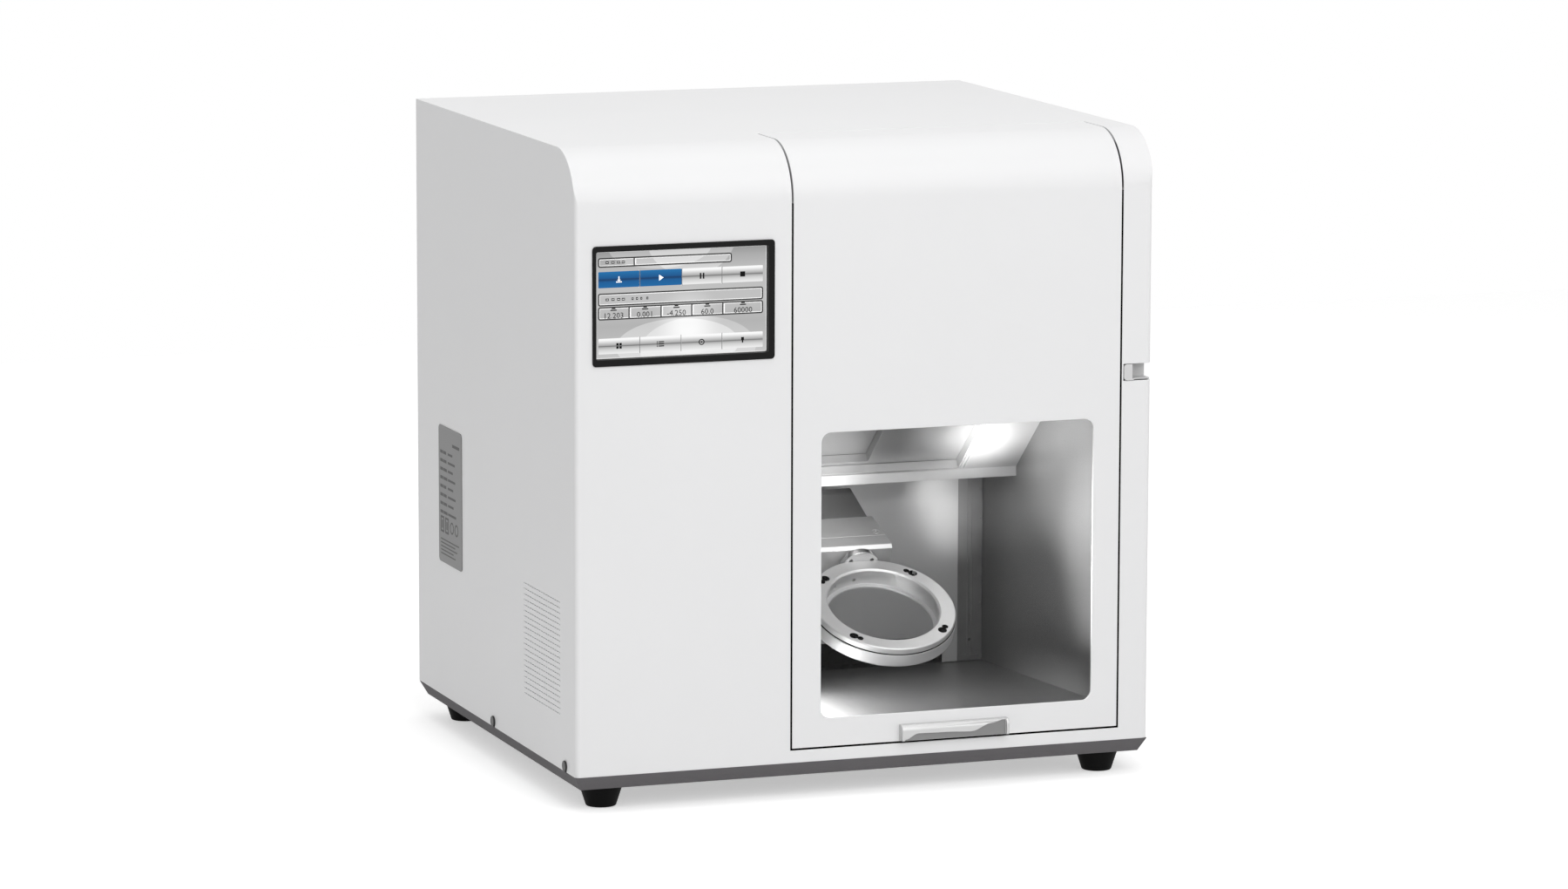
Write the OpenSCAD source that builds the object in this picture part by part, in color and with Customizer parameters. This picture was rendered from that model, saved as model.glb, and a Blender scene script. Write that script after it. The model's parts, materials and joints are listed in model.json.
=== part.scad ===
// Desktop dental milling machine.
// Origin: centre of the outline on the surface it stands on. +Z up, the front faces -Y, +X is right.
// yf(d) is the place d behind the front face, zs(h) the height h above the hood's lower edge.

/* [Housing] */
// Width of the hood
body_w = 500; // [480:1:620]
// Depth of the hood
body_d = 436; // [420:1:540]
// Height of the hood
shell_h = 507; // [490:1:620]
// Outer radius where the front turns into the top
front_r = 46; // [35:1:55]
// Radius of the upright front corners
corner_r = 4; // [3:0.5:6]
// Hood and door sheet thickness
sheet_t = 1.5; // [1.2:0.1:2]
// Height of the bevelled base below the hood
base_h = 11.5; // [9:0.5:16]
// How far the base's bevel draws in
base_inset = 6; // [4:1:14]
// Height of a foot
foot_h = 18.5; // [14:0.5:24]
// Foot diameter under the base
foot_top_d = 36; // [30:1:42]
// Foot diameter on the table
foot_low_d = 25; // [20:1:30]
// Foot centre in from the hood's faces
foot_edge = 32; // [28:1:40]

/* [Door] */
// Hood's left face to the door's left edge
door_left = 185.8; // [180:0.1:200]
// Hood's right face to the door's right edge
door_right = 27.8; // [24:0.1:40]
// Gap round the door
seam = 1.6; // [1:0.1:2.5]
// Hood rail below the door
sill_h = 10.2; // [8:0.1:20]
// Depth of the door's top panel behind the front face
door_top = 84; // [80:1:90]
// Depth of the door's folded edges
door_rim = 12; // [10:1:14]
// Window's right edge from the door's right edge
window_side_right = 23.2; // [20:0.1:40]
// Window height
window_h = 235.5; // [200:0.5:250]
// Window's left edge from the door's left edge
window_side = 24.7; // [22:0.1:30]
// Window's lower edge above the door's lower edge
window_low = 23.7; // [20:0.1:34]
// Window corner radius
window_r = 8; // [4:0.5:12]
// Thickness of the clear pane
pane_t = 4; // [3:0.5:6]
// Handle length
handle_w = 94.5; // [80:0.5:130]
// Handle height
handle_h = 13.4; // [12:0.1:20]
// How far the handle stands out
handle_out = 8; // [7:0.5:18]
// Handle's left end from the door's left edge
handle_side = 93.3; // [80:0.1:110]

/* [Screen] */
// Touch panel width
screen_w = 154.6; // [140:0.1:160]
// Touch panel height
screen_h = 97; // [85:0.5:110]
// Touch panel in from the hood's left face
screen_left = 14.8; // [12:0.1:20]
// Touch panel's lower edge above the hood's lower edge
screen_low = 334; // [310:1:345]
// Frame left of the display
screen_rim = 3.2; // [2.6:0.1:8]

/* [Chamber] */
// Chamber's left wall from the hood's left face
chamber_left = 192; // [190:1:200]
// Chamber's right wall from the hood's right face
chamber_right = 29; // [28:1:40]
// Chamber depth behind the front face
chamber_d = 301; // [290:1:330]
// Floor height at the front
floor_front = 26.8; // [24:0.1:30]
// Floor height at the back
floor_back = 12.9; // [11:0.1:18]
// Slope of the ceiling
ceiling_a = 40.8; // [35:0.1:45]
// Depth of the ceiling's lower lip
lip_d = 223.3; // [215:0.1:230]
// Height where the slope ends in the lip
lip_top = 196.3; // [190:0.1:205]
// Drop of the lip
lip_h = 8.6; // [6:0.1:12]
// Height of the flat part of the ceiling
ceiling_h = 275; // [272:1:290]
// Liner sheet thickness
liner_t = 1.2; // [1:0.1:1.5]

/* [Disc holder] */
// Disc seat diameter
seat_d = 98.5; // [98:0.1:99]
// How far the clamp ring laps over the disc
clamp_lap = 1.5; // [1:0.5:3]
// How far the ledge under the disc stands in
ledge_lap = 3.5; // [2.5:0.5:5]
// Width of the ring round the seat
ring_w = 13.75; // [12:0.25:16]
// Thickness of the lower ring
holder_t = 12; // [11:0.5:16]
// Thickness of the clamp ring
clamp_t = 6; // [4:0.5:8]
// Disc shoulder thickness
disc_t = 10; // [9:0.1:11]
// Holder centre in from the hood's left face
holder_x = 322; // [315:1:325]
// Holder centre behind the front face
holder_y = 154; // [150:1:158]
// Holder centre above the hood's lower edge
holder_z = 89.6; // [88:0.1:96]
// Forward tilt at rest
rest_tilt = 27.5; // [0:0.5:30]

/* [Spindle] */
// Spindle body diameter
spindle_d = 36; // [32:1:38]
// Spindle length below its clamp at rest
spindle_reach = 199; // [180:1:210]
// Spindle in from the hood's left face at rest
spindle_x = 228; // [226:1:232]
// Spindle behind the front face at rest
spindle_y = 105; // [104:1:108]
// Sideways travel of the spindle
travel_x = 144; // [120:1:144]
// Front-to-back travel of the spindle
travel_y = 85; // [70:1:85]
// Vertical travel of the spindle
travel_z = 80; // [60:1:80]

/* [Hidden] */
$fn = 64;
// Overshoot of a cutting body past the face it opens
cut = 1;
// Gap between pieces that slide past each other
slide_gap = 0.3;

// Colours
white = [0.93, 0.93, 0.93];
steel = [0.62, 0.62, 0.62];
bright_steel = [0.78, 0.78, 0.78];
dark_grey = [0.34, 0.34, 0.35];
base_grey = [0.45, 0.44, 0.45];
rubber = [0.03, 0.03, 0.03];

// Outline
spigot_out = 30;
shell_z = foot_h + base_h;
half_w = body_w / 2;
front_y = handle_out - (handle_out + body_d + spigot_out) / 2;

// Door
door_x0 = -half_w + door_left;
door_x1 = half_w - door_right;
door_z0 = sill_h + seam;
window_x0 = door_x0 + window_side;
window_x1 = door_x1 - window_side_right;
window_z0 = door_z0 + window_low;
window_z1 = window_z0 + window_h;
jamb_d = 21;

// Door hinge: the pins lie below the top sheet, ahead of the door's rear edge
hinge_back = 24;
hinge_drop = 12;
hinge_y = door_top - hinge_back;
hinge_z = shell_h - hinge_drop;
pin_d = 6;
pin_fit = 0.05;
ear_t = 5;
knuckle_w = 14;
hinge_in = 14;

// Chamber
wall_x0 = -half_w + chamber_left;
wall_x1 = half_w - chamber_right;
pan_z = -base_h + sheet_t;
frame_d = jamb_d + seam;
pocket_y = 240;
pocket_h = 218;
cover_back = door_top + 14;
cover_low = shell_h - 72;
cover_high = shell_h - 42;
bend_y = lip_d - (ceiling_h - lip_top) / tan(ceiling_a);
slot_z0 = floor_back + 4;
slot_z1 = slot_z0 + 20;
slot_x0 = wall_x0 + 14;
strip_w = 24;
slot_x1 = wall_x1 - strip_w - 14;
panel_gap = 4;

// Sliding covers over the ceiling opening
open_x0 = wall_x0 + 6;
open_x1 = wall_x1 - 54;
open_lo = 3;
open_front = 78;
flange_h = 8;
plate_t = 1.2;
slot_half = spindle_d / 2 + 3;
mid_x0 = -half_w + spindle_x - slot_half - 4;
mid_x1 = open_x1 - travel_x / 2 - 10;
cover_lap = 3;
mid_w0 = flange_h + slide_gap;
mid_w1 = mid_w0 + plate_t;
in_w0 = mid_w0 + flange_h + slide_gap;
in_w1 = in_w0 + plate_t;

// Spindle and its slides
spin_x = -half_w + spindle_x;
spin_y = spindle_y;
clamp_h = 40;
clamp_z0 = shell_h - sheet_t - 120.5;
nose_z = clamp_z0 - spindle_reach;
module_z = clamp_z0 + clamp_h + 15;
z_mod_d = 36;
z_mod_w = 46;
z_mod_low = clamp_z0 - travel_z - 4;
bore_gap = 0.05;
y_mod_h = 40;
x_face = chamber_d + 17;
x_plate_t = 12;
beam_x0 = -half_w + 40;
beam_x1 = half_w - 28;
beam_y = x_face + x_plate_t + slide_gap;
beam_h = 46;
beam_d = 54;
beam_z = module_z - 4;

// Holder and swing arm
hold_x = -half_w + holder_x;
arm_h = 35.2;
holder_r = seat_d / 2 + ring_w;
hub_face = holder_r - 3;
arm_front = hub_face + 8;
arm_back = arm_front + 70.5;
arm_inner = -holder_r - 9;
arm_outer = arm_inner - 22;
arm_right = 30;
arm_round = holder_r - 9;
boss_r = 22;
hub_r = 18;
shaft_r = 16;
ring_t = holder_t + clamp_t;

// Rear fittings
rear_t = 1.2;
fan_w = 80;
fan_t = 25;
fan_x = -half_w + 80;
fan_z = 300;
spigot_r = 30;
spigot_x = half_w - 150;
spigot_z = 42;
inlet_x = -half_w + 66;
inlet_z = 60;
inlet_w = 28;
inlet_h = 60;
switch_w = 13;
switch_h = 16;
switch_z = inlet_z + 12;
switch_back = 3;
air_x = -half_w + 140;
air_z = 60;

function yf(d) = front_y + d;
function zs(h) = shell_z + h;
function arc(cx, cy, r, a0, a1, n) = [for (i = [0:n]) let (a = a0 + (a1 - a0) * i / n)
    [cx + r * cos(a), cy + r * sin(a)]];

// Side view of the hood, drawn in by a distance, as depth and height
function hood_side(inset, low, back) = concat(
    [[back, low], [inset, low]],
    arc(front_r, shell_h - front_r, front_r - inset, 180, 90, 20),
    [[back, shell_h - inset]]);

// Unit direction from one point to the next
function dir(a, b) = (b - a) / norm(b - a);
// Left-hand normal of a direction
function nrm(d) = [-d[1], d[0]];
// A folded line moved sideways by w, with mitred corners
function shifted(p, w) = [for (i = [0:len(p) - 1])
    let (a = i == 0 ? nrm(dir(p[0], p[1])) : nrm(dir(p[i - 1], p[i])))
    let (b = i == len(p) - 1 ? a : nrm(dir(p[i], p[i + 1])))
    p[i] + w * (a + b) / (1 + a * b)];
function backwards(p) = [for (i = [len(p) - 1:-1:0]) p[i]];

// Section of a sheet folded along a line
module folded(p, w0, w1) {
    polygon(concat(shifted(p, w0), backwards(shifted(p, w1))));
}

// Turns a section drawn as depth and height into a body from x0 to x1
module across(x0, x1) {
    translate([x0, yf(0), zs(0)])
        rotate([90, 0, 90])
            linear_extrude(x1 - x0) children();
}

// Box from two corners, given as x, depth behind the front and height above the hood's edge
module block(a, b) {
    translate([a[0], yf(a[1]), zs(a[2])])
        cube([b[0] - a[0], b[1] - a[1], b[2] - a[2]]);
}

// Bar along X, round
module rod_x(x0, x1, y, z, r) {
    translate([x0, yf(y), zs(z)])
        rotate([0, 90, 0])
            cylinder(r = r, h = x1 - x0);
}

// Bar along Y, round
module rod_y(y0, y1, x, z, r) {
    translate([x, yf(y1), zs(z)])
        rotate([90, 0, 0])
            cylinder(r = r, h = y1 - y0);
}

// Bar along Z, round
module rod_z(z0, z1, x, y, r) {
    translate([x, yf(y), zs(z0)])
        cylinder(r = r, h = z1 - z0);
}

// Upright slab in the XZ plane with rounded corners
module round_slab(x0, x1, z0, z1, y0, y1, r) {
    translate([0, yf(y1), 0])
        rotate([90, 0, 0])
            linear_extrude(y1 - y0)
                round_outline(x0, x1, zs(z0), zs(z1), r);
}

module round_outline(x0, x1, z0, z1, r) {
    polygon(concat(
        arc(x1 - r, z0 + r, r, -90, 0, 6), arc(x1 - r, z1 - r, r, 0, 90, 6),
        arc(x0 + r, z1 - r, r, 90, 180, 6), arc(x0 + r, z0 + r, r, 180, 270, 6)));
}

// ---- Base ----

// Bevelled block: straight sides drawn in towards its lower face
module bevelled(inset, z0, z1) {
    w = half_w - inset;
    l = -base_inset * z0 / base_h;
    intersection() {
        across(-w, w)
            polygon([[inset + l, z0], [body_d - inset - l, z0], [body_d - inset, z1], [inset, z1]]);
        translate([0, yf(body_d - inset), zs(0)])
            rotate([90, 0, 0])
                linear_extrude(body_d - 2 * inset)
                    polygon([[-w + l, z0], [w - l, z0], [w, z1], [-w, z1]]);
    }
}

ledge_w = 3;
upstand_h = sill_h - sheet_t - 0.7;
module base_pan() {
    inner = half_w - ledge_w - sheet_t;
    color(base_grey)
    difference() {
        union() {
            bevelled(0, -base_h, 0);
            translate([0, 0, zs(-sheet_t)])
                linear_extrude(upstand_h + sheet_t)
                    round_outline(-half_w + sheet_t + slide_gap, half_w - sheet_t - slide_gap,
                        yf(sheet_t + slide_gap), yf(body_d - ledge_w), max(corner_r - sheet_t, 0.5) + 0.1);
        }
        bevelled(sheet_t, -base_h + sheet_t, -sheet_t);
        block([-inner, ledge_w + sheet_t, -sheet_t - cut],
            [inner, body_d - ledge_w - sheet_t, upstand_h + cut]);
        for (x = [-half_w + foot_edge, half_w - foot_edge], y = [foot_edge, body_d - foot_edge])
            rod_z(-base_h - cut, -base_h + sheet_t + cut, x, y, 2.6);
        for (x = [-half_w, half_w - 8], y = screw_y)
            rod_x(x, x + 8, y, screw_z, 2.05);
    }
}

// Tapered rubber foot with a screw recess
module foot(x, y) {
    color(rubber)
    translate([x, yf(y), 0])
        rotate_extrude($fn = 48)
            polygon([[4.5, 0], [foot_low_d / 2 - 0.4, 0], [foot_low_d / 2, 0.4], [foot_top_d / 2, foot_h - 1],
                [foot_top_d / 2, foot_h], [2.6, foot_h], [2.6, 6], [4.5, 6]]);
}

// ---- Hood ----

return_w = 12;
port_w = 24.8;
port_h = 14;
port_z = 301;
module hood_block(inset, back) {
    w = half_w - inset;
    r = max(corner_r - inset, 0.5);
    intersection() {
        across(-w, w) polygon(hood_side(inset, -cut * inset / sheet_t, back));
        translate([0, 0, zs(-2 * cut)])
            linear_extrude(shell_h + 4 * cut)
                polygon(concat([[w, yf(back)], [-w, yf(back)]],
                    arc(-w + r, yf(inset) + r, r, 180, 270, 6), arc(w - r, yf(inset) + r, r, 270, 360, 6)));
    }
}

// Space the door closes, right through the front and the top
module door_space(x0, x1, z0, y1) {
    block([x0, -cut, z0], [x1, front_r, shell_h + cut]);
    block([x0, front_r - cut, shell_h - front_r], [x1, y1, shell_h + cut]);
}

screw_y = [26.6, 220.5];
screw_z = 5;
module hem_notches(grow) {
    for (y = screw_y, x = [-half_w - cut, half_w - sheet_t - cut]) {
        rod_x(x, x + sheet_t + 2 * cut, y, screw_z, 3 + grow);
        block([x, y - 3 - grow, -cut], [x + sheet_t + 2 * cut, y + 3 + grow, screw_z]);
    }
}

vent_y = [40.3, 136.3];
vent_z = 45;
vent_pitch = 4.6;
vent_rows = 21;
slot_t = 0.6;
module hood() {
    x0 = door_x0 - seam;
    x1 = door_x1 + seam;
    color(white)
    difference() {
        hood_block(0, body_d);
        difference() {
            hood_block(sheet_t, body_d + cut);
            // Folded returns at the back and round the door
            difference() {
                block([-half_w, body_d - sheet_t - rear_t, 0], [half_w, body_d - rear_t, shell_h]);
                block([-half_w + sheet_t + return_w, body_d - 4 * sheet_t, -cut],
                    [half_w - sheet_t - return_w, body_d, shell_h - sheet_t - return_w]);
            }
            for (x = [x0 - sheet_t, x1])
                block([x, 0, sill_h - sheet_t], [x + sheet_t, jamb_d, shell_h - front_r]);
            block([x0 - sheet_t, 0, sill_h - sheet_t], [x1 + sheet_t, jamb_d, sill_h]);
        }
        door_space(x0, x1, sill_h, door_top + seam);
        hem_notches(0);
        round_slab(-half_w + screen_left + 2, -half_w + screen_left + screen_w - 2,
            screen_low + 2, screen_low + screen_h - 2, -cut, sheet_t + cut, 2);
        for (i = [0:vent_rows - 1])
            block([-half_w - cut, vent_y[0], vent_z + i * vent_pitch],
                [-half_w + sheet_t + cut, vent_y[1], vent_z + i * vent_pitch + slot_t]);
        block([half_w - port_w, -cut, port_z], [half_w + cut, 22, port_z + port_h]);
    }
}

// Pan-head screws that hold the hood's hem to the base
module hem_screws() {
    color(dark_grey)
    for (y = screw_y) {
        rod_x(-half_w - 1.6, -half_w, y, screw_z, 4.6);
        rod_x(-half_w - cut / 2, -half_w + 6, y, screw_z, 2);
        rod_x(half_w, half_w + 1.6, y, screw_z, 4.6);
        rod_x(half_w - 6, half_w + cut / 2, y, screw_z, 2);
    }
}

module rear_panel() {
    y0 = body_d - rear_t;
    w = half_w - sheet_t - slide_gap;
    color(white)
    difference() {
        block([-w, y0, slide_gap], [w, body_d, shell_h - sheet_t - slide_gap]);
        rod_y(y0 - cut, body_d + cut, fan_x, fan_z, fan_w / 2 - 2);
        for (dx = [-1, 1], dz = [-1, 1])
            rod_y(y0 - cut, body_d + cut, fan_x + dx * 35.75, fan_z + dz * 35.75, 2.2);
        rod_y(y0 - cut, body_d + cut, spigot_x, spigot_z, spigot_r + 0.3);
        rod_y(y0 - cut, body_d + cut, air_x, air_z, 6.2);
        block([inlet_x - inlet_w / 2, y0 - cut, inlet_z - inlet_h / 2],
            [inlet_x + inlet_w / 2, body_d + cut, inlet_z + inlet_h / 2]);
        for (i = [0:11])
            block([wall_x1 - 161 + i * 10, y0 - cut, 130], [wall_x1 - 157 + i * 10, body_d + cut, 190]);
    }
}

// ---- Screen, plate and port ----

bezel_out = 1.5;
rim_right = screen_rim + 1.8;
rim_top = screen_rim + 1.5;
rim_low = screen_rim + 2.3;
// How far the display lies behind the front face
display_d = 4.5;
module display_slab(gap, y0, y1) {
    x0 = -half_w + screen_left;
    round_slab(x0 + screen_rim + gap, x0 + screen_w - rim_right - gap, screen_low + rim_low + gap,
        screen_low + screen_h - rim_top - gap, y0, y1, 1.2);
}

module screen_bezel() {
    x0 = -half_w + screen_left;
    color(rubber)
    difference() {
        union() {
            round_slab(x0, x0 + screen_w, screen_low, screen_low + screen_h, -bezel_out, 0, 3);
            round_slab(x0 + 2.2, x0 + screen_w - 2.2, screen_low + 2.2, screen_low + screen_h - 2.2,
                -bezel_out, 8, 2);
        }
        display_slab(0, -bezel_out - cut, 8 + cut);
    }
}

module touch_screen() {
    color([0.72, 0.73, 0.76]) display_slab(0.1, display_d, 8);
}

module screen_controller() {
    x0 = -half_w + screen_left;
    color(dark_grey) {
        difference() {
            block([x0 + 2.2, 8, screen_low + 2.2], [x0 + screen_w - 2.2, 32, screen_low + screen_h - 2.2]);
            for (i = [0:9])
                block([x0 + 20 + i * 12, 30, screen_low + 20],
                    [x0 + 26 + i * 12, 32 + cut, screen_low + screen_h - 20]);
        }
    }
}

plate_y = [307, 373];
plate_z = [116.8, 234.9];
module rating_plate() {
    color(steel)
    translate([-half_w - 0.6, 0, 0])
        rotate([90, 0, 90])
            linear_extrude(0.6)
                round_outline(yf(plate_y[0]), yf(plate_y[1]), zs(plate_z[0]), zs(plate_z[1]), 4);
}

// Moulded port in the right front corner: a rounded socket body and a pocket open to the front and the side
module data_port() {
    x0 = half_w - port_w + slide_gap;
    body_x = x0 + 7.5;
    z0 = port_z + slide_gap;
    z1 = port_z + port_h - slide_gap;
    color([0.85, 0.85, 0.85])
    difference() {
        union() {
            round_slab(x0, body_x + 3, z0, z1, -0.8, 21, 3);
            block([x0 + 3, 3, z0], [half_w - 0.4, 21, z1]);
        }
        // Pocket
        block([body_x, -2 * cut, z0 + 1.4], [half_w + cut, 14, z1 + cut]);
        // Socket mouth, facing right
        block([x0 + 2, 4.8, z0 + 3.4], [body_x + cut, 10, z1 - 1.4]);
    }
}

// ---- Chamber ----

// The sheet behind the door: a frame round the chamber's mouth and a cover behind the door's upper part
module front_frame() {
    x0 = door_x0 - seam - sheet_t;
    x1 = door_x1 + seam + sheet_t;
    top_r = front_r - sheet_t - slide_gap;
    bend_a = 180 - acos((front_r - frame_d) / top_r);
    color(white)
    difference() {
        union() {
            across(x0, x1)
                folded([[frame_d, sill_h + slide_gap], [frame_d, cover_low], [cover_back, cover_high],
                    [cover_back, shell_h - sheet_t - slide_gap]], -liner_t, 0);
            // Side cheeks between the cover and the top sheet
            for (x = [x0, x1 - liner_t])
                across(x, x + liner_t)
                    polygon(concat([[frame_d, cover_low], [cover_back, cover_high],
                        [cover_back, shell_h - sheet_t - slide_gap]],
                        arc(front_r, shell_h - front_r, top_r, 90, bend_a, 8)));
        }
        block([wall_x0, 0, floor_front], [wall_x1, frame_d + 2 * cut, ceiling_h]);
    }
}

// Walls, floor and ceiling, all drawn in the side view; the walls stand on the base on folded feet
wall_foot = 13;
chamber_front = frame_d + liner_t;
chamber_side = [[chamber_front, pan_z], [chamber_d, pan_z], [chamber_d, pocket_h], [pocket_y, pocket_h],
    [pocket_y, lip_top - lip_h], [lip_d, lip_top - lip_h], [lip_d, lip_top], [bend_y, ceiling_h],
    [chamber_front, ceiling_h]];
ceiling_line = [[chamber_front, ceiling_h], [bend_y, ceiling_h], [lip_d, lip_top], [lip_d, lip_top - lip_h],
    [pocket_y, lip_top - lip_h], [pocket_y, pocket_h], [chamber_d, pocket_h]];

module chamber_floor() {
    color(steel)
    across(wall_x0, wall_x1)
        folded([[chamber_front + 0.1, floor_front], [chamber_d, floor_back]], -liner_t, 0);
}

module chamber_left_wall() {
    color(steel)
    difference() {
        union() {
            across(wall_x0 - liner_t, wall_x0) polygon(chamber_side);
            block([wall_x0 - wall_foot, 40, pan_z], [wall_x0, chamber_d - 20, pan_z + liner_t]);
        }
        rod_x(wall_x0 - liner_t - cut, wall_x0 + cut, holder_y, holder_z, shaft_r + 2);
    }
}

module chamber_right_wall() {
    color(steel)
    union() {
        across(wall_x1, wall_x1 + liner_t) polygon(chamber_side);
        block([wall_x1, 40, pan_z], [wall_x1 + wall_foot, chamber_d - 20, pan_z + liner_t]);
    }
}

module chamber_back_panel() {
    y0 = chamber_d - panel_gap;
    color(bright_steel)
    difference() {
        block([wall_x0, y0, floor_back + 1], [wall_x1 - strip_w, y0 + liner_t, pocket_h]);
        block([slot_x0, y0 - cut, floor_back], [slot_x1, y0 + liner_t + cut, slot_z1]);
    }
}

// Back wall behind the panel, with the ribbed corner strip and a folded sill on it
strip_ribs = [0.42, 0.58];
module chamber_back_wall() {
    x0 = wall_x1 - strip_w;
    x1 = wall_x1 - slide_gap;
    z0 = floor_back + 5;
    color(steel)
    difference() {
        union() {
            block([wall_x0, chamber_d, floor_back - 3], [wall_x1, chamber_d + liner_t, pocket_h]);
            block([x0 + 0.5, chamber_d - 3, floor_back + 1], [x1, chamber_d, z0 + cut]);
            block([x0 - 3, chamber_d - 2, z0], [x1, chamber_d, pocket_h - slide_gap]);
            for (f = strip_ribs)
                block([x0 + f * strip_w - 0.5, chamber_d - 2.8, z0],
                    [x0 + f * strip_w + 0.5, chamber_d - 2, pocket_h - slide_gap]);
        }
        block([slot_x0, chamber_d - cut, slot_z0], [slot_x1, chamber_d + liner_t + cut, slot_z1]);
        rod_y(chamber_d - 4, chamber_d + liner_t + cut, x0 + strip_w / 2, z0 + 14, 1.1);
    }
}

// Line of the sliding covers, from the lower edge of the opening to its front edge
function cover_line(lo, front) = [
    [front, ceiling_h], [bend_y, ceiling_h],
    [lip_d, lip_top] + lo * [-cos(ceiling_a), sin(ceiling_a)]];

// Opening through a ceiling sheet or a cover, with its edges turned up
module cover_ring(x0, x1, lo, front, w0, t) {
    difference() {
        across(x0 - t, x1 + t) folded(cover_line(lo - t, front - t), w0, w0 + flange_h);
        across(x0, x1) folded(cover_line(lo, front), w0 - cut, w0 + flange_h + cut);
    }
}

module chamber_ceiling() {
    color(bright_steel)
    union() {
        difference() {
            across(wall_x0 - liner_t, wall_x1 + liner_t) folded(ceiling_line, 0, liner_t);
            across(open_x0, open_x1) folded(cover_line(open_lo, open_front), -liner_t - 6, 6);
        }
        cover_ring(open_x0, open_x1, open_lo, open_front, 0, liner_t);
        // Two pressed ribs beside the opening
        for (x = [open_x1 + 1, open_x1 + 4.4])
            across(x, x + 1.8)
                folded([[bend_y, ceiling_h], cover_line(open_lo, open_front)[2]], -1.2, liner_t / 2);
    }
}

// Middle cover: slides on the ceiling's flanges at half the spindle's travel
module middle_cover_plate() {
    x0 = open_x0 - travel_x / 2 - cover_lap;
    x1 = open_x1 + cover_lap + 1;
    color(bright_steel)
    union() {
        difference() {
            across(x0, x1) folded(cover_line(open_lo - 2 * liner_t, open_front - 4), mid_w0, mid_w1);
            across(mid_x0, mid_x1) folded(cover_line(open_lo + 4, open_front + 4), mid_w0 - cut, mid_w1 + cut);
        }
        cover_ring(mid_x0, mid_x1, open_lo + 4, open_front + 4, mid_w0, plate_t);
    }
}

// Inner cover: travels with the spindle, which passes through its slot
module inner_cover_plate() {
    x0 = mid_x0 - travel_x / 2 - cover_lap;
    x1 = max(mid_x1, spin_x + slot_half + travel_x / 2) + cover_lap;
    color(steel)
    difference() {
        across(x0, x1) folded(cover_line(open_lo - 2, open_front), in_w0, in_w1);
        block([spin_x - slot_half, spin_y - slot_half, lip_top - 20],
            [spin_x + slot_half, spin_y + travel_y + slot_half, ceiling_h + 40]);
    }
}

// ---- Door ----

module door_part(inset, x0, x1, low, deep, back) {
    across(x0, x1)
        polygon(concat([[deep, low], [inset, low]],
            arc(front_r, shell_h - front_r, front_r - inset, 180, 90, 20),
            [[back, shell_h - inset], [back, shell_h - deep]],
            arc(front_r, shell_h - front_r, front_r - deep, 90, 180, 20)));
}

module door_skin() {
    color(white)
    difference() {
        door_part(0, door_x0, door_x1, door_z0, door_rim, door_top);
        difference() {
            door_part(sheet_t, door_x0 + sheet_t, door_x1 - sheet_t, door_z0 + sheet_t,
                door_rim + cut, door_top + cut);
            block([door_x0, 0, door_z0], [door_x0 + sheet_t, door_rim, door_z0 + sheet_t]);
        }
        round_slab(window_x0, window_x1, window_z0, window_z1, -cut, sheet_t + cut, window_r);
    }
}

gasket_w = 8;
module window_gasket() {
    g = gasket_w;
    color(rubber)
    difference() {
        round_slab(window_x0 - g, window_x1 + g, window_z0 - g, window_z1 + g,
            sheet_t, sheet_t + 2 + pane_t + 1.5, window_r + g);
        round_slab(window_x0 - 3, window_x1 + 3, window_z0 - 3, window_z1 + 3, 0, 20, window_r + 3);
        round_slab(window_x0 - g + 2, window_x1 + g - 2, window_z0 - g + 2, window_z1 + g - 2,
            sheet_t + 2, sheet_t + 2 + pane_t, window_r + g - 2);
    }
}

module window_pane() {
    g = gasket_w - 2 - 0.1;
    color([0.85, 0.9, 0.92, 0.3])
    round_slab(window_x0 - g, window_x1 + g, window_z0 - g, window_z1 + g,
        sheet_t + 2.02, sheet_t + 2 + pane_t - 0.02, window_r + g);
}

// Edge pull: a rolled upper edge over a scooped face, with a hollow for the fingers behind it
handle_end = 2.5;
scoop_d = 2.4;
// Height of the roll's lower edge, as fractions of the handle's length and height
scoop = [[0, 0.1], [0.13, 0.45], [0.4, 0.42], [0.65, 0.35], [0.85, 0.78], [1, 0.96]];
function eased(a, b, t) = a + (b - a) * (1 - cos(180 * t)) / 2;
scoop_line = [for (i = [0:len(scoop) - 2], j = [0:5])
    [scoop[i][0] + (scoop[i + 1][0] - scoop[i][0]) * j / 6, eased(scoop[i][1], scoop[i + 1][1], j / 6)]];

module door_handle() {
    x0 = door_x0 + handle_side;
    xa = x0 + handle_end;
    l = handle_w - 2 * handle_end;
    o = handle_out;
    h = handle_h;
    z = door_z0 + 1;
    color([0.7, 0.7, 0.7])
    difference() {
        across(x0, x0 + handle_w)
            polygon(concat([[0, z], [0, z + h], [-o + 5, z + h]],
                arc(-o + 5, z + h - 5, 5, 90, 180, 8),
                [[-o, z + 1], [-o + 1, z]]));
        // Scooped face
        translate([0, yf(-o + scoop_d), zs(0)])
            rotate([90, 0, 0])
                linear_extrude(scoop_d + cut)
                    polygon(concat([[xa, z - cut]],
                        [for (p = scoop_line) [xa + l * p[0], z + h * p[1]]],
                        [[xa + l, z + h * scoop[5][1]], [xa + l, z - cut]]));
        // Finger hollow
        across(xa, xa + l)
            polygon([[cut, z - cut], [-o + scoop_d + 0.9, z - cut], [-o + scoop_d + 0.9, z + h * 0.4],
                [-o + scoop_d + 2, z + h * 0.53], [cut, z + h * 0.53]]);
    }
}

hinge_w = 2 * ear_t + knuckle_w + 2 * slide_gap;
function hinge_x(side) = side < 0 ? door_x0 + hinge_in : door_x1 - hinge_in - hinge_w;

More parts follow.
